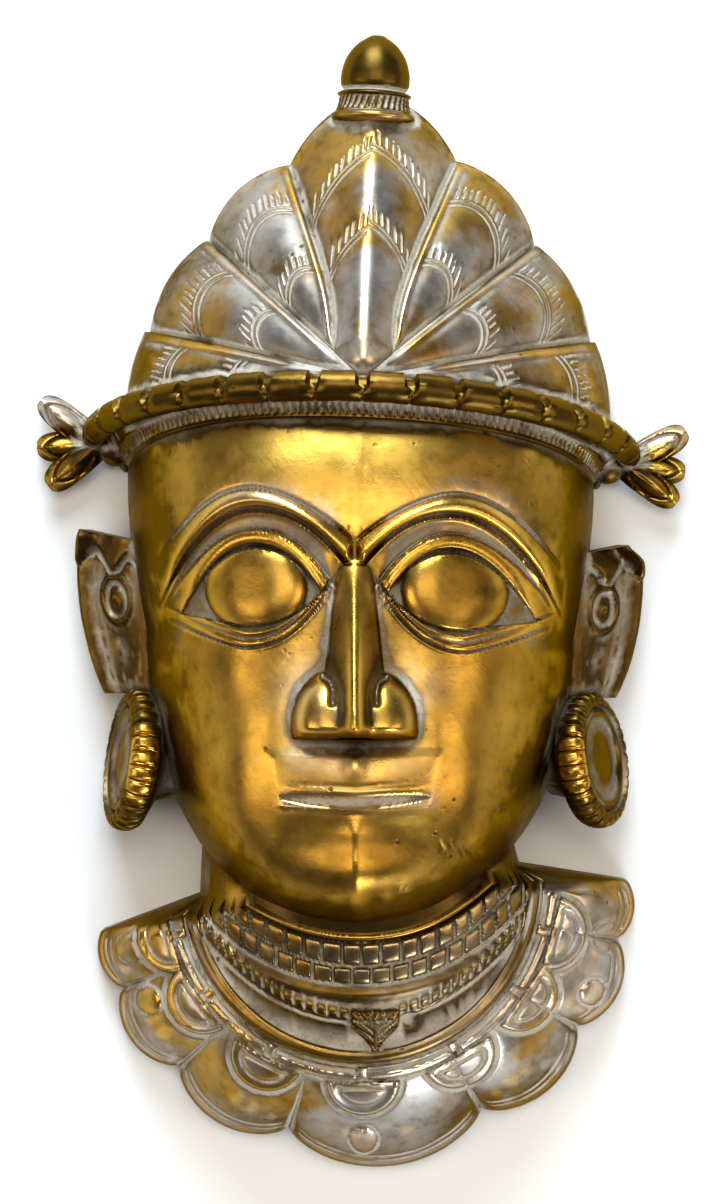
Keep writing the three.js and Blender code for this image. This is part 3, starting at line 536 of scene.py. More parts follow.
def roll_mesh():
    """Rope of blocks, each parted from the next by a notch that is deepest on the crown side."""
    steps = BAND_BLOCKS * 26
    share = np.arange(steps + 1) / 26
    turn = np.radians(-BAND_SPAN + share * 2 * BAND_SPAN / BAND_BLOCKS)
    out, up = band_frame(turn)
    near = np.abs(share - np.round(share))
    around = np.arange(28) / 28 * 2 * np.pi
    upper = smooth(np.sin(around), -0.9, 0.35)[None, :]
    half = mix(0.0, 0.095, upper)
    notch = 1 - smooth(near[:, None], half, half + 0.05)
    taper = 1 - ROLL_TAPER * np.abs(turn / math.radians(BAND_SPAN)) ** 8
    belly = 0.03 * smooth(near, 0.3, 0.5) + 0.015 * (1 + waver(share * 2.1, 5))
    size = 1 - mix(0.12, 0.42, upper) * notch - belly[:, None]
    radius = ROLL_R * size * taper[:, None]
    rings = (band_point(turn)[:, None] + out[:, None] * (np.cos(around) * radius)[..., None]
             + up[:, None] * (np.sin(around) * radius)[..., None])
    return skin(rings)


def ribbon_foot(turn):
    top = band_point(turn)
    y = top[..., 1] - mix(RIBBON["drop"], RIBBON["side_drop"], np.sin(turn) ** 4)
    x = top[..., 0] * (1 - RIBBON["draw"] * np.abs(np.sin(turn)) ** 1.5)
    return np.stack([x, y, head_height(x, y) + RIBBON["proud"]], -1)


def ribbon_mesh(steps=620, columns=18):
    turn = np.radians(np.linspace(-1, 1, steps) * (BAND_SPAN - RIBBON["short"]))
    out, up = band_frame(turn)
    top = band_point(turn) - out * ROLL_R * 0.4
    foot = ribbon_foot(turn)
    across = np.linspace(0, 1, columns)[None, :]
    length = np.concatenate([[0], np.cumsum(np.linalg.norm(np.diff(foot, axis=0), axis=1))])[:, None]
    wide = np.linalg.norm(top - foot, axis=1)[:, None]
    up_mm = across * wide
    lines = 0.55 * swell(up_mm - 0.7, 0.45) + 0.5 * swell(up_mm - 5.3, 0.45)
    window = smooth(up_mm, 1.0, 1.5) * (1 - smooth(up_mm, 4.6, 5.1))
    phase = length + 0.3 * waver(length * 0.7, 1) + 0.12 * up_mm
    lift = lines - 0.75 * window * dashes(phase, 2.2, 2.0) - 0.35 * smooth(up_mm, 5.6, 6.6)
    front = foot[:, None] + (top - foot)[:, None] * across[..., None] + out[:, None] * lift[..., None]
    crown = top - out * ROLL_R * 0.2 + np.array([0, ROLL_R * 0.7, 0])
    back_top = band_point(turn) - out * (ROLL_R + 9)
    back_foot = foot - out * 9
    rings = np.concatenate([front, crown[:, None], back_top[:, None], back_foot[:, None]], 1)
    return skin(rings)


# Blossoms


def petal_mesh(turn, lift_z, reach, side, centre):
    rows, columns = 46, 30
    share = np.linspace(0, 1, rows)[:, None]
    run = np.minimum(np.abs(share - 0.55) / 0.47, 0.96)
    half = BLOSSOM["wide"] * 0.5 * np.sqrt(1 - run**4)
    lift = BLOSSOM["deep"] * (0.5 + 0.5 * np.sin(np.pi * share * 0.9))
    top = np.linspace(-1, 1, columns)[None, :]
    crest = lift * (1 - np.abs(top) ** 1.25)
    rim = np.hypot(top, (share - 0.58) / 0.42)
    crest = crest + (0.5 * swell(rim - 0.86, 0.09) - 0.6 * swell(rim - 0.7, 0.07)) * smooth(share, 0.25, 0.4)
    vein = smooth(share, 0.3, 0.4) * (1 - smooth(share, 0.7, 0.8))
    crest = crest - 0.35 * swell(top + 0.1 * np.sin(share * 9), 0.1) * vein
    under = np.linspace(1, -1, 9)[None, 1:-1]
    low = -0.9 * lift * (1 - np.abs(under) ** 1.6)
    x = np.concatenate([share + 0 * top, share + 0 * under], 1) * BLOSSOM["long"] * reach - BLOSSOM["root"]
    y = np.concatenate([top * half, under * half], 1)
    z = np.concatenate([crest, low], 1) + lift_z
    a = math.radians(turn * (BLOSSOM_HAND if side > 0 else 1))
    px, py = x * math.cos(a) - y * math.sin(a), x * math.sin(a) + y * math.cos(a)
    return skin(np.stack([side * (px + centre[0]), py + centre[1], z + centre[2]], -1))


def blossom_parts(side):
    end = band_point(np.radians(BAND_SPAN))
    centre = (end[0] - BLOSSOM["inward"], end[1] - BLOSSOM["below"], end[2])
    hub = BLOSSOM["hub"]
    hub_x = side * (centre[0] - BLOSSOM["root"])
    middle = ball((hub_x, centre[1], centre[2]), (hub, hub * 1.1, hub * 0.9), 40, 28)
    return [middle] + [petal_mesh(turn, lift, reach, side, centre) for turn, lift, reach in PETALS]


# Ears and ear discs


def ear_mesh(side, rows=120, columns=64):
    e = EAR
    share = np.linspace(0, 1, rows)[:, None]
    spread = np.sin(np.pi * np.minimum(share * 0.62 + 0.02, 1)) ** 0.7
    edge = mix(e["lobe_x"] - 3, e["out_x"], spread) - EAR_TIP[side] * smooth(share, 0.86, 1) ** 1.5
    back = mix(e["out_z"] + 4, e["out_z"], spread)
    across = np.linspace(0, 1, columns)[None, :]
    lift = np.interp(across, [0, 0.2, 0.4, 0.62, 0.74, 0.82, 0.88, 0.92, 0.96, 1],
                     [1, 0.95, 0.6, -0.3, -0.8, -0.5, 1.2, EAR_RIM, 1.9, 0.6]) + 0 * share
    # Oval ring with a curled boss, a hollow under it, and a smooth hood that ends in a knob
    ring = np.hypot((across - 0.52) / 0.19, (share - 0.6) / 0.15)
    turn = np.arctan2(share - 0.6, across - 0.52)
    lift = lift + 0.9 * swell(ring - 1, 0.16) - 0.6 * swell(ring - 0.7, 0.13) + 1.3 * swell(ring, 0.42)
    lift = lift + 0.3 * np.cos(turn - 5 * ring) * (1 - smooth(ring, 0.2, 0.6))
    lift = lift - 1.0 * swell(np.hypot((across - 0.55) / 0.2, (share - 0.28) / 0.14), 1)
    hood = share - 0.84 + 0.06 * np.sin(across * 14)
    lift = lift + 1.1 * smooth(hood, -0.01, 0.04) * smooth(across, 0.2, 0.5)
    lift = lift - 0.7 * swell(hood + 0.025, 0.018) * (across < 0.95)
    lift = lift + 1.2 * swell(np.hypot((across - 0.9) / 0.12, (share - 0.96) / 0.05), 1)
    lift = lift + 0.18 * waver(share * 31, 2) * waver(across * 23, 3)

    def at(a, up):
        x = mix(e["root_x"], edge, a) + up * 0.55
        y = mix(e["foot_y"], mix(e["root_top"], e["tip_y"], a), share)
        return np.stack([side * x, np.broadcast_to(y, x.shape), mix(e["root_z"], back, a) + up * 0.8], -1)

    under = -EAR_THICK + 0 * share
    return skin(np.concatenate([at(across, lift), at(np.ones((1, 1)), under), at(np.zeros((1, 1)), under)], 1))


def disc_mesh(side):
    r, half, beads = DISC["r"], DISC["thick"] / 2, DISC["beads"] * 2
    # Stub, beaded rim, double ring and boss: radius, height and share of the beads' notches
    stub = [(STUB_R * 0.8, -STUB_LONG, 0), (STUB_R * 0.95, -half - 3, 0)]
    rim = [(0.84, -1, 0), (0.93, -0.8, 0.4), (0.985, -0.4, 1), (1, -0.05, 1), (1, 0.25, 1), (0.985, 0.55, 1),
           (0.94, 0.82, 1), (0.87, 0.98, 0.8), (0.81, 1, 0.25)]
    dish = [(0.79, 0.72), (0.765, 0.5), (0.74, 0.62), (0.7, 0.86), (0.65, 0.86), (0.61, 0.6), (0.58, 0.45),
            (0.5, 0.5), (0.35, 0.68), (0.15, 0.78)]
    profile = np.array(stub + [(r * a, half * b, c) for a, b, c in rim + [(a, b, 0) for a, b in dish]])
    at = even_spread(profile[:, 0], profile[:, 1], 90)
    radius, along, beaded = (np.interp(at, np.arange(len(profile)), profile[:, i])[:, None] for i in range(3))
    columns = beads * 16
    share = (np.arange(columns) / columns * beads)[None, :]
    near = np.abs(share - np.round(share))
    notch = beaded * (0.052 * swell(near, 0.07) + 0.02 * swell(near - 0.17, 0.05))
    turn = share / beads * 2 * np.pi
    radius = radius * (1 - notch)
    x, y, z = radius * np.cos(turn), radius * np.sin(turn), along - notch * r * 0.5 + 0 * turn
    at_x, face = DISC_SIDE[side]
    a = math.pi / 2 - math.radians(face)
    x, z = x * math.cos(a) + z * math.sin(a), -x * math.sin(a) + z * math.cos(a)
    b = math.radians(DISC["lean"])
    x, y = x * math.cos(b) - y * math.sin(b), x * math.sin(b) + y * math.cos(b)
    return skin(np.stack([side * (x + at_x), y + DISC["y"], z + DISC["z"]], -1))


# Neck and collar, by distance and turn about the throat; turn 0 points down


def neck_height(x, y, inset=0.0):
    level = y - x * math.tan(math.radians(COLLAR_TURN))
    half = mix(NECK_HALF, NECK_WAIST, smooth(level, WAIST_FROM, WAIST_TO)) - inset
    low = NECK_Y - TORQUE_R
    rounded = np.sqrt(np.maximum(1 - (x / half) ** 2, 0))
    return NECK_FOOT + (NECK_RISE + NECK_LEAN * (y - low)) * rounded - inset


def collar_reach(turn):
    bare = np.abs(np.degrees((turn + math.pi) % (2 * math.pi) - math.pi) + COLLAR_TURN)
    reach = np.full_like(bare, NECK_WAIST + 1)
    start = 0.0
    for i, (end, lift) in enumerate(zip(SCALLOP_END, SCALLOP_SWELL)):
        share = 0.5 + 0.5 * (bare / end) if i == 0 else (bare - start) / (end - start)
        here = (bare <= end) & (bare >= start)
        reach = np.where(here, COLLAR_R + lift * np.sin(np.pi * np.clip(share, 0, 1)) ** 0.62, reach)
        start = end
    return reach


def collar_place(r, turn):
    return -r * np.sin(turn), NECK_Y - r * np.cos(turn)


def collar_height(r, turn, reach, inset=0.0):
    seat = neck_height(*collar_place(TORQUE_R + 0 * r, turn), inset)
    rim = COLLAR_RIM - inset
    run = np.clip((r - TORQUE_R) / np.maximum(reach - TORQUE_R, 1e-6), 0, 1)
    plate = rim + (seat - rim) * (1 - run**COLLAR_DROP) ** COLLAR_ROUND
    return np.where(r <= TORQUE_R, neck_height(*collar_place(r, turn), inset), plate)


def neck_marks(x, y):
    """Rows of cells round the throat, between the chin band and the torque."""
    z = np.zeros_like(x)
    ax = np.abs(x)
    grid = np.linspace(0, 52, 400)
    gaps, runs = [], []
    for top, side, half in NECK_LINES:
        curve = top + (side - top) * (grid / half) ** 2.15
        length = np.concatenate([[0], np.cumsum(np.hypot(np.diff(grid), np.diff(curve)))])
        slope = np.interp(ax, grid, np.gradient(curve, grid))
        gaps.append((y - np.interp(ax, grid, curve)) / np.sqrt(1 + slope**2))
        runs.append(np.interp(ax, grid, length) * np.sign(x))
    chin, one, two, three = gaps
    # Two rows of square cells under a plain band, parted by grooves
    z += 0.9 * swell(chin - 1.2, 0.9) - 0.8 * swell(chin, 0.4)
    for seed, (upper, lower, run) in enumerate([(chin, one, runs[1]), (one, two, runs[2])]):
        tall = np.maximum(lower - upper, 0.5)
        middle = np.clip(lower / tall, 0, 1)
        inside = (upper < 0) & (lower > 0)
        pillow = np.maximum(1 - np.abs(2 * middle - 1) ** 3.5, 0) ** 0.6
        gap = dashes(run + 2.7 * seed + 0.3 * waver(run * 0.5, seed), 5.5, 16)
        z += np.where(inside, 1.7 * pillow * (1 - gap) - 0.5, 0)
    z -= 0.5 * swell(one, 0.4) + 0.6 * swell(two, 0.45)
    # A plain roll, then a row of thin beads
    z += 1.0 * swell(two + 3.1, 1.9)
    beads = swell(three - 1.3, 1.3)
    z += beads * (0.2 + 1.0 * (1 - dashes(runs[3], 3.3, 5)))
    z += 0.5 * swell(three + 0.7, 0.5) - 0.35 * swell(three + 1.6, 0.5)
    return z


def pendant_marks(x, y):
    """Small shield with leaf veins, hung from the bead row, and a cast pit beside it."""
    u, v = x - PENDANT[0], y - PENDANT[1]
    wide = 6.8 * np.clip(1 - smooth(-v, -1.5, 7.0) * 0.85, 0.1, 1)
    inside = (1 - smooth(np.abs(u) - wide, -0.5, 0.5)) * smooth(v, -7.2, -6.2) * (1 - smooth(v, 4.6, 5.6))
    veins = dashes(v - 0.75 * np.abs(u), 1.9, 2) * smooth(np.abs(u), 0.3, 1.0)
    z = inside * (2.1 - 0.7 * veins + 0.3 * swell(u, 0.6))
    z -= 1.9 * swell(np.hypot((u - 9.6) / 1.6, (v - 2.2) / 1.9), 1)
    return z


def collar_marks(r, turn, reach):
    """Torque, garland bars, half moons, buds, the drop and the cut lines that follow each scallop."""
    x, y = collar_place(r, turn)
    z = TORQUE_RISE * np.sqrt(np.clip(1 - ((r - TORQUE_R) / (TORQUE_WIDE * 0.5)) ** 2, 0, 1))
    z += 0.45 * swell(r - TORQUE_R - 3.1, 0.5) - 0.5 * swell(r - TORQUE_R - 2.3, 0.4)
    degrees = np.degrees((turn + math.pi) % (2 * math.pi) - math.pi)
    moons = np.array([s * t for t in CRESCENT_TURNS for s in (1, -1)])
    nearest = moons[np.argmin(np.abs(degrees[..., None] - moons), -1)]
    swing = np.radians(degrees - nearest)
    u, v = r * np.sin(swing), r * np.cos(swing) - CRESCENT_R
    # Half moon: flat above, round below, with a smile cut into it
    bowl = np.hypot(u / 10.6, (v + 5.2) / 10.6)
    body = (1 - smooth(bowl, 0.93, 1.02)) * smooth(v, -5.6, -4.9)
    z += body * (1.5 + 0.9 * np.sqrt(np.clip(1 - bowl**2, 0, 1)))
    rim = swell(bowl - 0.9, 0.06) * smooth(v, -5.6, -4.9)
    z += 0.5 * rim
    smile = np.hypot(u / 7.0, (v + 3.4) / 5.6)
    z -= 0.75 * swell(smile - 0.98, 0.1) * smooth(v, -4.4, -3.2)
    z -= 0.6 * swell(v + 2.9, 0.4) * (1 - smooth(np.abs(u), 6.2, 7.4))
    z -= 0.5 * swell(bowl - 1.07, 0.05) * smooth(v, -6.5, -5)
    # Garland bars between the half moons, each with a gap at the link
    bar = swell(np.abs(r - 55.2) / 1.35, 1) ** 2 * smooth(np.abs(u), 1.3, 2.0)
    bar *= 1 - smooth(np.abs(degrees + COLLAR_TURN), 78, 80)
    z += 1.3 * np.minimum(bar * 1.6, 1)
    link = (1 - smooth(np.abs(u), 0.9, 1.6)) * smooth(r, 52, 53) * (1 - smooth(r, 56.6, 57.4))
    z += 1.1 * link
    # Buds between the half moons near the shoulders
    for bx, by, rise in BUDS:
        q = np.hypot(x - bx, y - by)
        z += rise * np.sqrt(np.clip(1 - (q / 3.9) ** 2, 0, 1)) - 0.4 * swell(q - 4.6, 0.5)
    # Drop under the middle half moon
    q = np.hypot(x / 4.0, (y - DROP_Y) / mix(4.3, 5.0, y < DROP_Y))
    notch = dashes(x, 2.0, 2) * swell(y - DROP_Y - 3.4, 1.2)
    z += 2.0 * np.sqrt(np.clip(1 - q**2.4, 0, 1)) * (y < DROP_Y + 3.7) * (1 - 0.4 * notch)
    z -= 0.4 * swell(q - 1.12, 0.1)
    # Lines that follow each scallop, and its rolled edge
    edge = reach - r
    bare = np.abs(degrees + COLLAR_TURN)
    away = np.min(np.abs(bare[..., None] - np.array(SCALLOP_END)), -1)
    ends = smooth(np.radians(away) * r, 1.5, 4.0)
    z += 0.75 * swell(edge - 1.1, 1.0) - ends * 0.5 * (swell(edge - 2.9, 0.4) + swell(edge - 4.5, 0.4))
    return z * (1 - smooth(bare, 82, 83.5))


def collar_turns(step, inset):
    last = SCALLOP_END[-1] - inset * SHOULDER_DRAW
    marks = sorted({0.0, *SCALLOP_END[:-1], *(-e for e in SCALLOP_END[:-1]), last, -last})
    turns = []
    for a, b in zip(marks[:-1], marks[1:]):
        turns.extend(np.linspace(a, b, max(2, int((b - a) / step)), endpoint=False))
    turns += [last, last + 5, 110, 140, 180, 220, 250, 355 - last]
    return np.radians(np.array(turns) - COLLAR_TURN)


def collar_rings(inset, step, plate_rows, neck_rows):
    turns = collar_turns(step, inset)[None, :]
    reach = collar_reach(turns)
    reach = (np.minimum(reach, COLLAR_R) if inset > 0 else reach) - inset
    is_open = reach > TORQUE_R
    share = np.linspace(1, 0, plate_rows)[:, None]
    inner_start = TORQUE_R - 3 if inset == 0 else TORQUE_R + TORQUE_WIDE * 0.5
    r = np.where(is_open, mix(inner_start, reach, share), reach * (0.96 + 0.04 * share))
    x, y = collar_place(r, turns)
    z = np.where(is_open, collar_height(r, turns, reach, inset), neck_height(x, y, inset))
    if inset == 0:
        rim = np.where(share > 0.999, 0, 1)
        z = z + np.where(is_open, collar_marks(r, turns, reach) * rim, 0)
        z = z + np.where(is_open & (r < TORQUE_R - 1), neck_marks(x, y) + pendant_marks(x, y), 0)
    plate = np.stack([x, y, z], -1)
    base = np.minimum(TORQUE_R - 3 if inset == 0 else TORQUE_R, reach * 0.95)
    share = np.linspace(1, 0.16, neck_rows + 1)[1:, None]
    x, y = collar_place(base * share, turns)
    z = neck_height(x, y, inset)
    if inset == 0:
        z = z + np.where(is_open, neck_marks(x, y) + pendant_marks(x, y), 0)
    return np.concatenate([plate, np.stack([x, y, z], -1)])


# Putting the casting together


def leaned(points):
    x, y, z = points.T
    bend = np.where(y > 0, LEAN_ABOVE, LEAN_BELOW)
    d, t = FEATURE_DRIFT, HAND_TILT
    within = smooth(y, *d["chin"]) * (1 - smooth(y, *d["brow"]))
    drift = d["by"] * (1 - smooth(np.abs(x), *d["side"])) * within
    tilt = t["slope"] * smooth(y, *t["below"]) * (1 - smooth(y, *t["above"]))
    return np.column_stack([x + drift + bend * y * y, y - (2 * bend * y + tilt) * x, z])


def block(low, high):
    low, high = np.array(low, float), np.array(high, float)
    corners = np.array([[x, y, z] for x in (0, 1) for y in (0, 1) for z in (0, 1)]) * (high - low) + low
    quads = [(0, 1, 3, 2), (4, 6, 7, 5), (0, 4, 5, 1), (2, 3, 7, 6), (0, 2, 6, 4), (1, 5, 7, 3)]
    return corners, np.array([face for a, b, c, d in quads for face in ((a, b, c), (a, c, d))])


def above_band(lift):
    """The space beyond the headband's leaning plane, where the crown takes over from the head."""
    verts, faces = block((-200, 0, -200), (200, 400, 200))
    a = -math.atan(BAND_TILT)
    y, z = verts[:, 1].copy(), verts[:, 2].copy()
    verts[:, 1] = y * math.cos(a) - z * math.sin(a) + BAND_FOOT + 2 + lift
    verts[:, 2] = y * math.sin(a) + z * math.cos(a)
    return verts, faces


def to_mesh(name, verts, faces):
    mesh = bpy.data.meshes.new(name)
    mesh.vertices.add(len(verts))
    mesh.vertices.foreach_set("co", np.ascontiguousarray(verts, np.float32).ravel())
    mesh.loops.add(len(faces) * 3)
    mesh.loops.foreach_set("vertex_index", np.ascontiguousarray(faces, np.int32).ravel())
    mesh.polygons.add(len(faces))
    mesh.polygons.foreach_set("loop_start", np.arange(0, len(faces) * 3, 3, dtype=np.int32))
    mesh.update(calc_edges=True)
    return mesh


def combine(base, steps):
    """Joins or cuts closed meshes in order: steps is a list of (operation, (verts, faces))."""
    target = bpy.data.objects.new("joining", to_mesh("joining", *base))
    bpy.context.scene.collection.objects.link(target)
    tools = []
    for operation, part in steps:
        tool = bpy.data.objects.new("tool", to_mesh("tool", *part))
        bpy.context.scene.collection.objects.link(tool)
        tool.hide_render = True
        cut = target.modifiers.new(operation.lower(), "BOOLEAN")
        cut.operation, cut.object, cut.solver = operation, tool, "MANIFOLD"
        tools.append(tool)
    result = bpy.data.meshes.new_from_object(target.evaluated_get(bpy.context.evaluated_depsgraph_get()))
    verts = np.empty(len(result.vertices) * 3, np.float32)
    result.vertices.foreach_get("co", verts)
    result.calc_loop_triangles()
    faces = np.empty(len(result.loop_triangles) * 3, np.int32)
    result.loop_triangles.foreach_get("vertices", faces)
    for item in [target, *tools]:
        mesh = item.data
        bpy.data.objects.remove(item)
        bpy.data.meshes.remove(mesh)
    bpy.data.meshes.remove(result)
    if len(faces) == 0:
        raise RuntimeError("the casting came out empty")
    return verts.reshape(-1, 3).astype(float), faces.reshape(-1, 3)


def casting(detail):
    """The whole mask as one closed mesh in millimetres, before the lean."""

    def n(count):
        return max(8, int(count * detail))

    head = combine(dome(head_rings(0, n(760), n(250))), [("DIFFERENCE", above_band(0))])
    hollow_head = combine(dome(head_rings(WALL, 90, 30)), [("DIFFERENCE", above_band(-WALL))])
    crown = dome(crown_rings(0, [n(80), n(84), n(84), n(60)], n(250)))
    collar = dome(collar_rings(0, 0.42 / detail, n(120), n(90)))
    hollow = combine(hollow_head, [
        ("UNION", dome(crown_rings(WALL, [12, 12, 12, 10], 24))),
        ("UNION", dome(collar_rings(WALL, 4, 16, 10))),
        ("UNION", nose_core(WALL)),
    ])
    sides = (-1, 1)
    blossoms = [blossom_parts(s) for s in sides]
    first = together([nose_mesh(0.33 / detail), roll_mesh(), finial_mesh(), *[ear_mesh(s) for s in sides]])
    second = together([ribbon_mesh(n(620)), *[disc_mesh(s) for s in sides]])
    steps = [("UNION", crown), ("UNION", collar), ("UNION", first), ("UNION", second)]
    steps += [("UNION", together([b[i] for b in blossoms])) for i in range(4)]
    steps += [("DIFFERENCE", hollow), ("DIFFERENCE", block((-250, -250, -4 * SINK), (250, 250, 0)))]
    return combine(head, steps)


# Masks for the finish, worked out from the finished surface


def blur(grid, sigma):
    reach = int(3 * sigma) + 1
    kernel = np.exp(-0.5 * (np.arange(-reach, reach + 1) / sigma) ** 2)
    kernel /= kernel.sum()
    for axis in (0, 1):
        padded = np.pad(grid, [(reach, reach) if a == axis else (0, 0) for a in (0, 1)], mode="edge")
        row = np.arange(grid.shape[axis])
        grid = sum(k * np.take(padded, row + i, axis=axis) for i, k in enumerate(kernel))
    return grid


def height_map(points, cell, low, shape):
    """Highest z in each cell of the plan, with empty cells filled from their neighbours."""
    at = ((points[:, :2] - low) / cell).astype(int)
    at = np.clip(at, 0, np.array(shape) - 1)
    grid = np.full(shape, -1.0)
    np.maximum.at(grid, (at[:, 0], at[:, 1]), points[:, 2])
    for _ in range(3):
        gaps = grid < 0
        near = np.max([np.roll(grid, s, a) for a in (0, 1) for s in (1, -1)], axis=0)
        grid = np.where(gaps, near, grid)
    return np.maximum(grid, 0)


def sample(grid, points, cell, low):
    at = (points[:, :2] - low) / cell - 0.5
    at = np.clip(at, 0, np.array(grid.shape) - 1.001)
    i, f = at.astype(int), at - at.astype(int)
    a, b = i[:, 0], i[:, 1]
    u, v = f[:, 0], f[:, 1]
    return (grid[a, b] * (1 - u) * (1 - v) + grid[a + 1, b] * u * (1 - v)
            + grid[a, b + 1] * (1 - u) * v + grid[a + 1, b + 1] * u * v)


def surface_masks(dense, points, normals):
    """Grime in cuts, wear on crests, soil in broad hollows, and how dusty each zone of the mask is; also
    painted shade on sides that face away and on the chin, temples, eyeballs and nose flanks, and a painted
    sheen on the brow tops.
    """
    cell = MASK_CELL
    low = dense[:, :2].min(0) - 8
    shape = tuple(((dense[:, :2].max(0) + 8 - low) / cell).astype(int) + 1)
    top = height_map(dense, cell, low, shape)
    z = points[:, 2]

    def over(width):
        return sample(blur(top, width / cell), points, cell, low) - z

    front = smooth(-over(SKIN_BLUR), -4.0, -2.0)
    cut, bowl = over(CUT_BLUR) * front, over(BOWL_BLUR) * front
    flat = np.clip(normals[:, 2], 0, 1)
    x, y = points[:, 0], points[:, 1]
    side = np.abs(x)
    level = y + BAND_SLOPE * x - BAND_TILT * z
    crown = smooth(level, *CROWN_LEVEL)
    band = smooth(level, *BAND_LEVEL) * (1 - crown) * (side < BAND_REACH)
    collar = smooth(-(y - 18.7 * (side / 43.6) ** 2.2), 94, 98) * (1 - smooth(y, -74, -70))
    throat = collar * (1 - smooth(np.hypot(x, y - NECK_Y), TORQUE_R + 1, TORQUE_R + 5))
    disc = (1 - smooth(np.hypot((side - 66) / 16, (y - DISC["y"]) / 22), 0.95, 1.05)) * (z < 38)
    ear = smooth(side, 63, 66) * smooth(y, -30, -27) * (1 - smooth(y, 22, 24)) * (1 - disc)
    face = (1 - crown) * (1 - band) * (1 - collar) * (1 - ear) * (1 - disc)
    # The patch beside the nose wings is partly dry residue and partly a painted cool reflection on the wing
    # edges
    nose = swell(np.hypot((side - 15.5) / 7, (y + 25) / 9), 1)
    lip = (1 - smooth(side, 18, 24)) * swell(y + 43, 4.5)
    corner = swell(np.hypot((side - 8.5) / 4, (y - 1) / 5), 1)
    eyes = smooth(side, 5, 9) * (1 - smooth(side, 46, 54)) * smooth(y, -17, -13) * (1 - smooth(y, 31, 35))
    slit = (1 - smooth(side, 20, 23)) * swell(y + 54, 2.5)
    patch = np.max([nose, lip * 0.8, corner * 0.8, slit], axis=0) * face
    # Painted sheen: a grey band along the top of each brow arch stands in for the cool window light reflected
    # there
    arch = smooth(side, 4, 8) * (1 - smooth(side, 48, 56)) * swell(y - line_y(BROW_TOP, side) - 0.5, 3.2)
    bud = smooth(y, 136, 142)
    # Painted shade: the brown film lies thicker on the chin, the temples, the eyeballs and beside the ridge of
    # the nose, darkening them as shade would
    jaw = smooth(-y, 52, 78) * 0.6 * (1 - 0.9 * swell(side, 2.8))
    temple = smooth(side, 34, 56) * smooth(y, 2, 20) * 0.55
    (ex, ey), (wide, tall) = EYEBALL_SEEN["at"], EYEBALL_SEEN["size"]
    globe = (1 - smooth(np.hypot((side - ex) / wide, (y - ey) / tall), 0.8, 1.05)) * 0.4
    flank = swell((side - 8) / 6, 1) * smooth(y, -38, -30) * (1 - smooth(y, 8, 16)) * 0.5
    face_shade = np.max([jaw, temple, globe, flank], axis=0) * face
    d, g, a = DUST_SHARE, GREY_SHARE, FILM_SHARE
    dusty = [crown * d["crown"], collar, band * mix(d["ribbon"], 1.0, smooth(level, *ROLL_LEVEL)),
             ear * d["ear"], disc * d["disc"], patch, eyes * face * d["eyes"]]
    greyed = [(crown - bud) * g["crown"], collar - throat * g["throat"], patch * g["patch"],
              ear * g["ear"], arch * face * g["arch"]]
    zones = {"band": band, "ear": ear, "disc": disc, "throat": throat,
             "bud": bud, "crown": crown, "collar": collar}
    # This mask holds each zone's brown film and the painted shade of the face
    aged_and_shaded = [zone * a[name] for name, zone in zones.items()] + [face_shade]
    return {
        "grime": smooth(cut, 0.05, 0.3),
        "crest": smooth(-cut, 0.03, 0.3) * smooth(flat, 0.2, 0.7),
        "soil": smooth(bowl, 0.25, 2.6),
        # Painted shade: surfaces that turn away from the front are darkened through the brown film
        "side_shade": (1 - smooth(flat, 0.12, 0.86)) * front,
        "dusty": np.max(dusty, axis=0),
        "greyed": np.max(greyed, axis=0),
        "aged_and_shaded": np.max(aged_and_shaded, axis=0),
        "inside": 1 - front,
    }


class MaskFinish(bpy.types.PropertyGroup):
    gold: FloatVectorProperty(
        name="Polished brass", description="Colour of rubbed, bare brass",
        subtype="COLOR", size=3, min=0, max=1, default=(0.55, 0.315, 0.05))
    # Pale brass is also the colour of the painted cool sheen on the brow tops
    pale: FloatVectorProperty(
        name="Pale brass", description="Colour of the thinner, greyed brass on crown and collar",
        subtype="COLOR", size=3, min=0, max=1, default=(0.57, 0.575, 0.57))
    # The brown film colour also paints the shade on the sides, chin, temples, eyeballs and nose flanks
    patina_and_shade: FloatVectorProperty(
        name="Brown patina", description="Colour of the dark film in hollows and on the sides",
        subtype="COLOR", size=3, min=0, max=1, default=(0.055, 0.03, 0.006))
    dust: FloatVectorProperty(
        name="Polish residue", description="Colour of the dried residue in the cuts",
        subtype="COLOR", size=3, min=0, max=1, default=(0.56, 0.51, 0.42))
    pit: FloatVectorProperty(
        name="Pits", description="Colour in the cast pits",
        subtype="COLOR", size=3, min=0, max=1, default=(0.02, 0.013, 0.006))
    detail: FloatProperty(
        name="Mesh detail", description="Density of the carved surface before it is thinned",
        default=1.0, min=0.2, max=1.5, subtype="FACTOR")
    triangles: IntProperty(
        name="Triangles", description="Number of triangles kept in the casting",
        default=188000, min=20000, max=199000)
    wear: FloatProperty(
        name="Wear", description="How far raised places are rubbed bright",
        default=0.75, min=0, max=1, subtype="FACTOR")


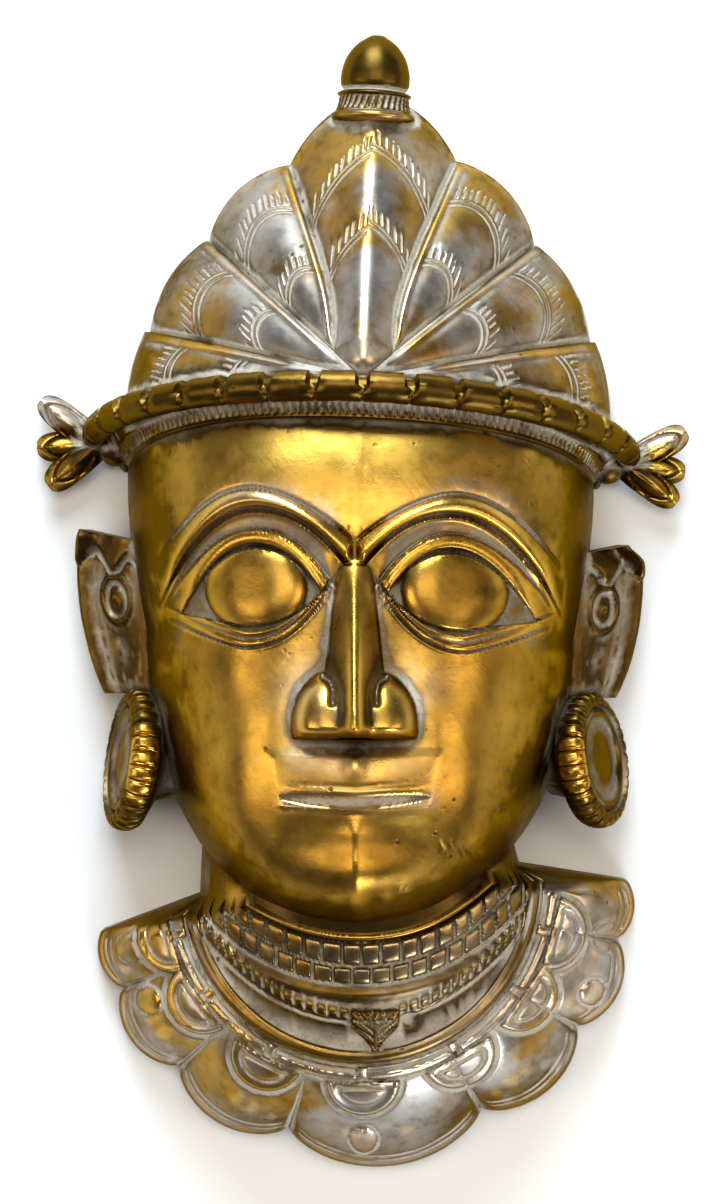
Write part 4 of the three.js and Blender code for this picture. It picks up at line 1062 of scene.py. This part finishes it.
class MaskStage(bpy.types.PropertyGroup):
    floor: FloatVectorProperty(
        name="Floor", description="Colour of the plain floor",
        subtype="COLOR", size=3, min=0, max=1, default=(0.94, 0.94, 0.94))
    floor_size: FloatProperty(
        name="Floor size", description="Side of the square floor",
        default=6.0, min=1, subtype="DISTANCE", unit="LENGTH")
    distance: FloatProperty(
        name="Camera distance", description="Height of the camera over the floor",
        default=1.2, min=0.5, subtype="DISTANCE", unit="LENGTH")
    frame_height: FloatProperty(
        name="Frame height", description="Length of floor that the picture shows from top to bottom",
        default=0.3516, min=0.1, subtype="DISTANCE", unit="LENGTH")
    window_power: FloatProperty(
        name="Window light", description="Power of the cool window light beyond the finial",
        default=29.0, min=0, subtype="POWER", unit="POWER")
    doorway_power: FloatProperty(
        name="Doorway light", description="Power of the cool light beyond the collar on the right",
        default=8.0, min=0, subtype="POWER", unit="POWER")
    overhead_power: FloatProperty(
        name="Overhead light", description="Power of the warm light over the forehead",
        default=8.5, min=0, subtype="POWER", unit="POWER")
    wall_power: FloatProperty(
        name="Wall light", description="Power of the warm light from each side",
        default=6.0, min=0, subtype="POWER", unit="POWER")
    sky: FloatVectorProperty(
        name="Room colour", description="Colour of the even light from all round",
        subtype="COLOR", size=3, min=0, max=1, default=(0.5, 0.48, 0.45))
    sky_strength: FloatProperty(
        name="Room light", description="Strength of the even light from all round",
        default=0.3, min=0)


# Node helpers


class Nodes:
    """Adds nodes to a tree and links them by name."""

    def __init__(self, tree):
        self.tree = tree

    def add(self, kind, values=(), **settings):
        node = self.tree.nodes.new(kind)
        for name, value in settings.items():
            setattr(node, name, value)
        for name, value in dict(values).items():
            self.feed(node.inputs[name], value)
        return node

    def feed(self, socket, value):
        if isinstance(value, bpy.types.NodeSocket):
            self.tree.links.new(value, socket)
        elif isinstance(value, tuple) and len(value) == 3 and socket.type == "RGBA":
            socket.default_value = (*value, 1)
        else:
            socket.default_value = value

    def math(self, operation, a, b=0.0, clamp=False):
        return self.add("ShaderNodeMath", {0: a, 1: b}, operation=operation, use_clamp=clamp).outputs[0]

    def blend(self, share, a, b, kind="MIX"):
        node = self.add("ShaderNodeMix", data_type="RGBA", blend_type=kind)
        self.feed(node.inputs[0], share)
        self.feed(node.inputs[6], a)
        self.feed(node.inputs[7], b)
        return node.outputs[2]

    def noise(self, where, scale, detail=4.0, rough=0.55, stretch=None):
        if stretch:
            where = self.add("ShaderNodeMapping", {"Vector": where, "Scale": stretch}).outputs[0]
        values = {"Vector": where, "Scale": scale, "Detail": detail, "Roughness": rough}
        return self.add("ShaderNodeTexNoise", values).outputs[0]

    def ramp(self, value, low, high, to_low=0.0, to_high=1.0):
        keys = {"Value": value, "From Min": low, "From Max": high, "To Min": to_low, "To Max": to_high}
        return self.add("ShaderNodeMapRange", keys, interpolation_type="SMOOTHSTEP").outputs[0]


def new_group(name, inputs, outputs):
    """A shader group that takes a position and plain values, and gives plain values."""
    group = bpy.data.node_groups.new(name, "ShaderNodeTree")
    group.interface.new_socket("Position", in_out="INPUT", socket_type="NodeSocketVector")
    for label in inputs:
        group.interface.new_socket(label, in_out="INPUT", socket_type="NodeSocketFloat")
    for label in outputs:
        group.interface.new_socket(label, in_out="OUTPUT", socket_type="NodeSocketFloat")
    nodes = Nodes(group)
    return group, nodes, nodes.add("NodeGroupInput").outputs, nodes.add("NodeGroupOutput").inputs


def film_group():
    """Cloudy brown film, thick in cuts and hollows and broken where hands and polish reach, with painted shade
    on the sides and on the shaded parts of the face.
    """
    group, n, i, o = new_group("brown_film_and_shade", ["Soil", "Steep", "Aged", "Grime", "Crest"], ["Film"])
    cloud = n.noise(i["Position"], 38, 5, 0.6)
    mottle = n.noise(i["Position"], 240, 4, 0.65)
    amount = n.math("ADD", n.math("MULTIPLY", i["Soil"], 0.55), n.math("MULTIPLY", i["Steep"], 0.85))
    amount = n.math("ADD", amount, n.math("MULTIPLY", i["Aged"], 0.8))
    amount = n.math("ADD", amount, n.math("MULTIPLY", i["Grime"], 0.75))
    amount = n.math("ADD", amount, n.ramp(cloud, 0.38, 0.78, 0.0, 0.5))
    amount = n.math("ADD", amount, n.ramp(mottle, 0.46, 0.75, -0.05, 0.18))
    amount = n.math("SUBTRACT", amount, n.math("MULTIPLY", i["Crest"], 0.4), clamp=True)
    n.feed(o["Film"], amount)
    return group


def residue_group():
    """Dry pale residue packed into cuts, and a thin grey bloom over dusty zones, which on the brow tops is a
    painted cool sheen.
    """
    group, n, i, o = new_group("polish_residue_and_sheen", ["Grime", "Dusty", "Greyed", "Soil"], ["Packed", "Bloom_And_Sheen"])
    patch = n.noise(i["Position"], 60, 4, 0.6)
    crumbs = n.noise(i["Position"], 900, 3, 0.6)
    packed = n.math("MULTIPLY", i["Grime"], i["Dusty"])
    packed = n.math("MULTIPLY", packed, n.ramp(patch, 0.34, 0.55, 0.45, 1.15))
    packed = n.math("MULTIPLY", packed, n.ramp(crumbs, 0.3, 0.55, 0.7, 1.0), clamp=True)
    n.feed(o["Packed"], packed)
    cloud = n.noise(i["Position"], 24, 5, 0.62)
    bloom_and_sheen = n.math("MULTIPLY", i["Greyed"], n.ramp(cloud, 0.43, 0.58, 0.08, 1.0))
    bloom_and_sheen = n.math("ADD", bloom_and_sheen, n.math("MULTIPLY", i["Soil"], 0.12), clamp=True)
    n.feed(o["Bloom_And_Sheen"], bloom_and_sheen)
    return group


def pitting_group():
    """Cast pits and fine rubbing scratches, as a mask for pits and a height for both."""
    group, n, i, o = new_group("pits_and_scratches", [], ["Pits", "Height"])
    values = {"Vector": i["Position"], "Scale": 210.0, "Randomness": 1.0}
    cells = n.add("ShaderNodeTexVoronoi", values).outputs[0]
    sparse = n.ramp(n.noise(i["Position"], 75, 2, 0.5), 0.56, 0.66)
    pits = n.math("MULTIPLY", n.ramp(cells, 0.1, 0.2, 1.0, 0.0), sparse, clamp=True)
    n.feed(o["Pits"], pits)
    across = n.noise(i["Position"], 90, 4, 0.7, stretch=(1.0, 9.0, 9.0))
    askew = n.add("ShaderNodeVectorRotate", {"Vector": i["Position"], "Angle": 0.9}, rotation_type="Z_AXIS")
    slant = n.noise(askew.outputs[0], 70, 3, 0.7, stretch=(1.0, 12.0, 6.0))
    grain = n.noise(i["Position"], 1400, 2, 0.5)
    height = n.math("ADD", n.math("MULTIPLY", across, 0.45), n.math("MULTIPLY", slant, 0.35))
    height = n.math("ADD", height, n.math("MULTIPLY", grain, 0.22))
    n.feed(o["Height"], n.math("SUBTRACT", height, n.math("MULTIPLY", pits, 1.6)))
    return group


def brass_material(finish):
    material = bpy.data.materials.new("aged_brass")
    material.use_nodes = True
    material.node_tree.nodes.clear()
    n = Nodes(material.node_tree)
    where = n.add("ShaderNodeTexCoord").outputs["Object"]
    mask = {name: n.add("ShaderNodeAttribute", attribute_name=name).outputs["Fac"]
            for name in ("grime", "crest", "soil", "side_shade", "dusty", "greyed", "aged_and_shaded", "inside")}

    def placed(group, **values):
        node = n.add("ShaderNodeGroup")
        node.node_tree = group
        n.feed(node.inputs["Position"], where)
        for name, value in values.items():
            n.feed(node.inputs[name], value)
        return node.outputs

    crest = n.math("MULTIPLY", mask["crest"], finish.wear)
    film_and_shade = placed(film_group(), Soil=mask["soil"], Steep=mask["side_shade"], Aged=mask["aged_and_shaded"],
                  Grime=mask["grime"], Crest=crest)["Film"]
    residue = placed(residue_group(), Grime=mask["grime"], Dusty=mask["dusty"],
                     Greyed=mask["greyed"], Soil=mask["soil"])
    pitting = placed(pitting_group())

    # Colours from the bottom up: brass, grey bloom with a painted sheen on the brow tops, brown film with
    # painted shade on the sides and face, rubbed crests, residue, pits, hollow side
    tone = n.noise(where, 17, 4, 0.55)
    warm = tuple(c * k for c, k in zip(finish.gold, (0.74, 0.66, 0.55)))
    gold = n.blend(n.ramp(tone, 0.35, 0.65), tuple(finish.gold), warm)
    # Grey bloom, which on the brow tops is a painted cool sheen
    colour = n.blend(n.math("MULTIPLY", residue["Bloom_And_Sheen"], 0.85), gold, tuple(finish.pale))
    # Brown film, which also paints shade on the sides, chin, temples, eyeballs and nose flanks
    colour = n.blend(n.math("MULTIPLY", film_and_shade, 0.93), colour, tuple(finish.patina_and_shade))
    rubbed = n.math("SUBTRACT", 1.0, n.math("MULTIPLY", mask["aged_and_shaded"], 0.6), clamp=True)
    rubbed = n.math("MULTIPLY", n.math("MULTIPLY", crest, rubbed), 0.35)
    colour = n.blend(rubbed, colour, tuple(min(c * 1.35, 1) for c in finish.gold))
    colour = n.blend(n.math("MULTIPLY", residue["Packed"], 0.9), colour, tuple(finish.dust))
    colour = n.blend(n.math("MULTIPLY", pitting["Pits"], 0.85), colour, tuple(finish.pit))
    colour = n.blend(n.math("MULTIPLY", mask["inside"], 0.75), colour, tuple(c * 0.9 for c in finish.patina_and_shade))

    smudge = n.noise(where, 130, 4, 0.6)
    rough = n.ramp(smudge, 0.3, 0.7, 0.26, 0.38)
    rough = n.math("ADD", rough, n.math("MULTIPLY", film_and_shade, 0.05))
    rough = n.math("ADD", rough, n.math("MULTIPLY", residue["Bloom_And_Sheen"], 0.04))
    rough = n.math("ADD", rough, n.math("MULTIPLY", residue["Packed"], 0.4))
    rough = n.math("ADD", rough, n.math("MULTIPLY", mask["inside"], 0.25))
    rough = n.math("SUBTRACT", rough, n.math("MULTIPLY", crest, 0.06), clamp=True)
    metal = n.math("SUBTRACT", 1.0, n.math("MULTIPLY", residue["Packed"], 0.8))
    metal = n.math("SUBTRACT", metal, n.math("MULTIPLY", pitting["Pits"], 0.5), clamp=True)

    bump = n.add("ShaderNodeBump", {"Height": pitting["Height"], "Strength": 0.22, "Distance": 0.0004})
    shader = n.add("ShaderNodeBsdfPrincipled", {
        "Base Color": colour, "Metallic": metal, "Roughness": rough, "Normal": bump.outputs[0],
        "Specular Tint": (0.8, 0.62, 0.38)})
    out = n.add("ShaderNodeOutputMaterial")
    n.feed(out.inputs["Surface"], shader.outputs[0])
    return material


def floor_material(stage):
    material = bpy.data.materials.new("pale_floor")
    material.use_nodes = True
    n = Nodes(material.node_tree)
    where = n.add("ShaderNodeTexCoord").outputs["Object"]
    shade = n.noise(where, 3, 3, 0.5)
    floor = tuple(stage.floor)
    colour = n.blend(shade, tuple(c * 0.985 for c in floor), floor)
    shader = material.node_tree.nodes["Principled BSDF"]
    n.feed(shader.inputs["Base Color"], colour)
    shader.inputs["Roughness"].default_value = 0.9
    return material


class OBJECT_OT_brass_mask(bpy.types.Operator):
    """Builds the hollow brass casting with its carving and aged finish"""

    bl_idname = "object.brass_mask"
    bl_label = "Brass Mask"

    def execute(self, context):
        finish = context.scene.mask_finish
        verts, faces = casting(finish.detail * (1.0))
        dense = leaned(verts)
        mesh = to_mesh("mask", dense, faces)
        piece = bpy.data.objects.new("mask", mesh)
        context.scene.collection.objects.link(piece)
        if len(faces) > finish.triangles:
            thin = piece.modifiers.new("thin", "DECIMATE")
            thin.ratio = finish.triangles / len(faces)
            thinned = bpy.data.meshes.new_from_object(piece.evaluated_get(context.evaluated_depsgraph_get()))
            piece.modifiers.clear()
            piece.data = thinned
            bpy.data.meshes.remove(mesh)
            mesh = thinned
        mesh.name = "mask"
        points = np.empty(len(mesh.vertices) * 3, np.float32)
        mesh.vertices.foreach_get("co", points)
        points = points.reshape(-1, 3).astype(float)
        normals = np.empty(len(mesh.vertices) * 3, np.float32)
        mesh.vertices.foreach_get("normal", normals)
        for name, values in surface_masks(dense, points, normals.reshape(-1, 3)).items():
            layer = mesh.attributes.new(name, "FLOAT", "POINT")
            layer.data.foreach_set("value", np.ascontiguousarray(values, np.float32))
        low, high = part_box("brass_mask")
        placed = np.clip(points * 0.001, np.array(low), np.array(high))
        mesh.vertices.foreach_set("co", np.ascontiguousarray(placed, np.float32).ravel())
        mesh.polygons.foreach_set("use_smooth", np.ones(len(mesh.polygons), bool))
        mesh.set_sharp_from_angle(angle=math.radians(48))
        mesh.materials.clear()
        mesh.materials.append(brass_material(finish))
        mesh.update()
        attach(piece, "root")
        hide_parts("brass_mask")
        return {"FINISHED"}


class OBJECT_OT_mask_stage(bpy.types.Operator):
    """Lays the floor and sets up the lights and the camera"""

    bl_idname = "object.mask_stage"
    bl_label = "Mask Stage"

    def light(self, name, at, aim, size, power, colour):
        data = bpy.data.lights.new(name, "AREA")
        data.shape, data.size, data.size_y = "RECTANGLE", size[0], size[1]
        data.energy, data.color = power, colour
        lamp = bpy.data.objects.new(name, data)
        bpy.context.scene.collection.objects.link(lamp)
        lamp.location = at
        lamp.rotation_mode = "QUATERNION"
        lamp.rotation_quaternion = (Vector(aim) - Vector(at)).to_track_quat("-Z", "Y")

    def execute(self, context):
        stage = context.scene.mask_stage
        half = stage.floor_size / 2
        verts, faces = block((-half, -half, -0.02), (half, half, 0.0))
        floor = bpy.data.objects.new("floor", to_mesh("floor", verts, faces))
        floor.data.materials.append(floor_material(stage))
        context.scene.collection.objects.link(floor)

        lights = [
            ("window", (-0.1, 1.15, 0.6), (0, 0.05, 0.03), (0.7, 0.8), stage.window_power, WINDOW_TINT),
            ("doorway", (0.55, -1.05, 0.45), (0, -0.08, 0.03), (0.5, 0.5), stage.doorway_power, DOORWAY_TINT),
            ("overhead", (0.05, 0.4, 1.5), (0, 0, 0), (1.1, 0.6), stage.overhead_power, OVERHEAD_TINT),
        ]
        for hand in (-1, 1):
            side = (hand * 1.15, -0.1, 1.0)
            lights.append(("wall", side, (0, -0.02, 0.05), (0.7, 1.0), stage.wall_power, WALL_TINT))
        for settings in lights:
            self.light(*settings)

        world = bpy.data.worlds.new("studio")
        world.use_nodes = True
        background = world.node_tree.nodes["Background"]
        background.inputs["Color"].default_value = (*stage.sky, 1)
        background.inputs["Strength"].default_value = stage.sky_strength
        context.scene.world = world

        data = bpy.data.cameras.new("camera")
        data.sensor_fit, data.sensor_width, data.sensor_height = "AUTO", 36, 36
        data.lens = 36 * stage.distance / stage.frame_height
        camera = bpy.data.objects.new("camera", data)
        camera.location = (0, 0, stage.distance)
        context.scene.collection.objects.link(camera)
        context.scene.camera = camera
        context.scene.view_settings.view_transform = "Standard"
        return {"FINISHED"}


class VIEW3D_PT_brass_deity_mask(bpy.types.Panel):
    """Settings and buttons for the mask and its stage"""

    bl_label = "Brass Mask"
    bl_space_type = "VIEW_3D"
    bl_region_type = "UI"
    bl_category = "Mask"

    def draw(self, context):
        layout = self.layout
        for group in (context.scene.mask_finish, context.scene.mask_stage):
            for name in group.__annotations__:
                layout.prop(group, name)
        layout.operator("object.brass_mask")
        layout.operator("object.mask_stage")


CLASSES = (MaskFinish, MaskStage, OBJECT_OT_brass_mask, OBJECT_OT_mask_stage, VIEW3D_PT_brass_deity_mask)


def register():
    for item in CLASSES:
        bpy.utils.register_class(item)
    bpy.types.Scene.mask_finish = PointerProperty(type=MaskFinish)
    bpy.types.Scene.mask_stage = PointerProperty(type=MaskStage)


def unregister():
    del bpy.types.Scene.mask_stage
    del bpy.types.Scene.mask_finish
    for item in reversed(CLASSES):
        bpy.utils.unregister_class(item)


def main():
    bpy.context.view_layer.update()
    register()
    bpy.ops.object.brass_mask()
    bpy.ops.object.mask_stage()


if __name__ == "__main__":
    main()
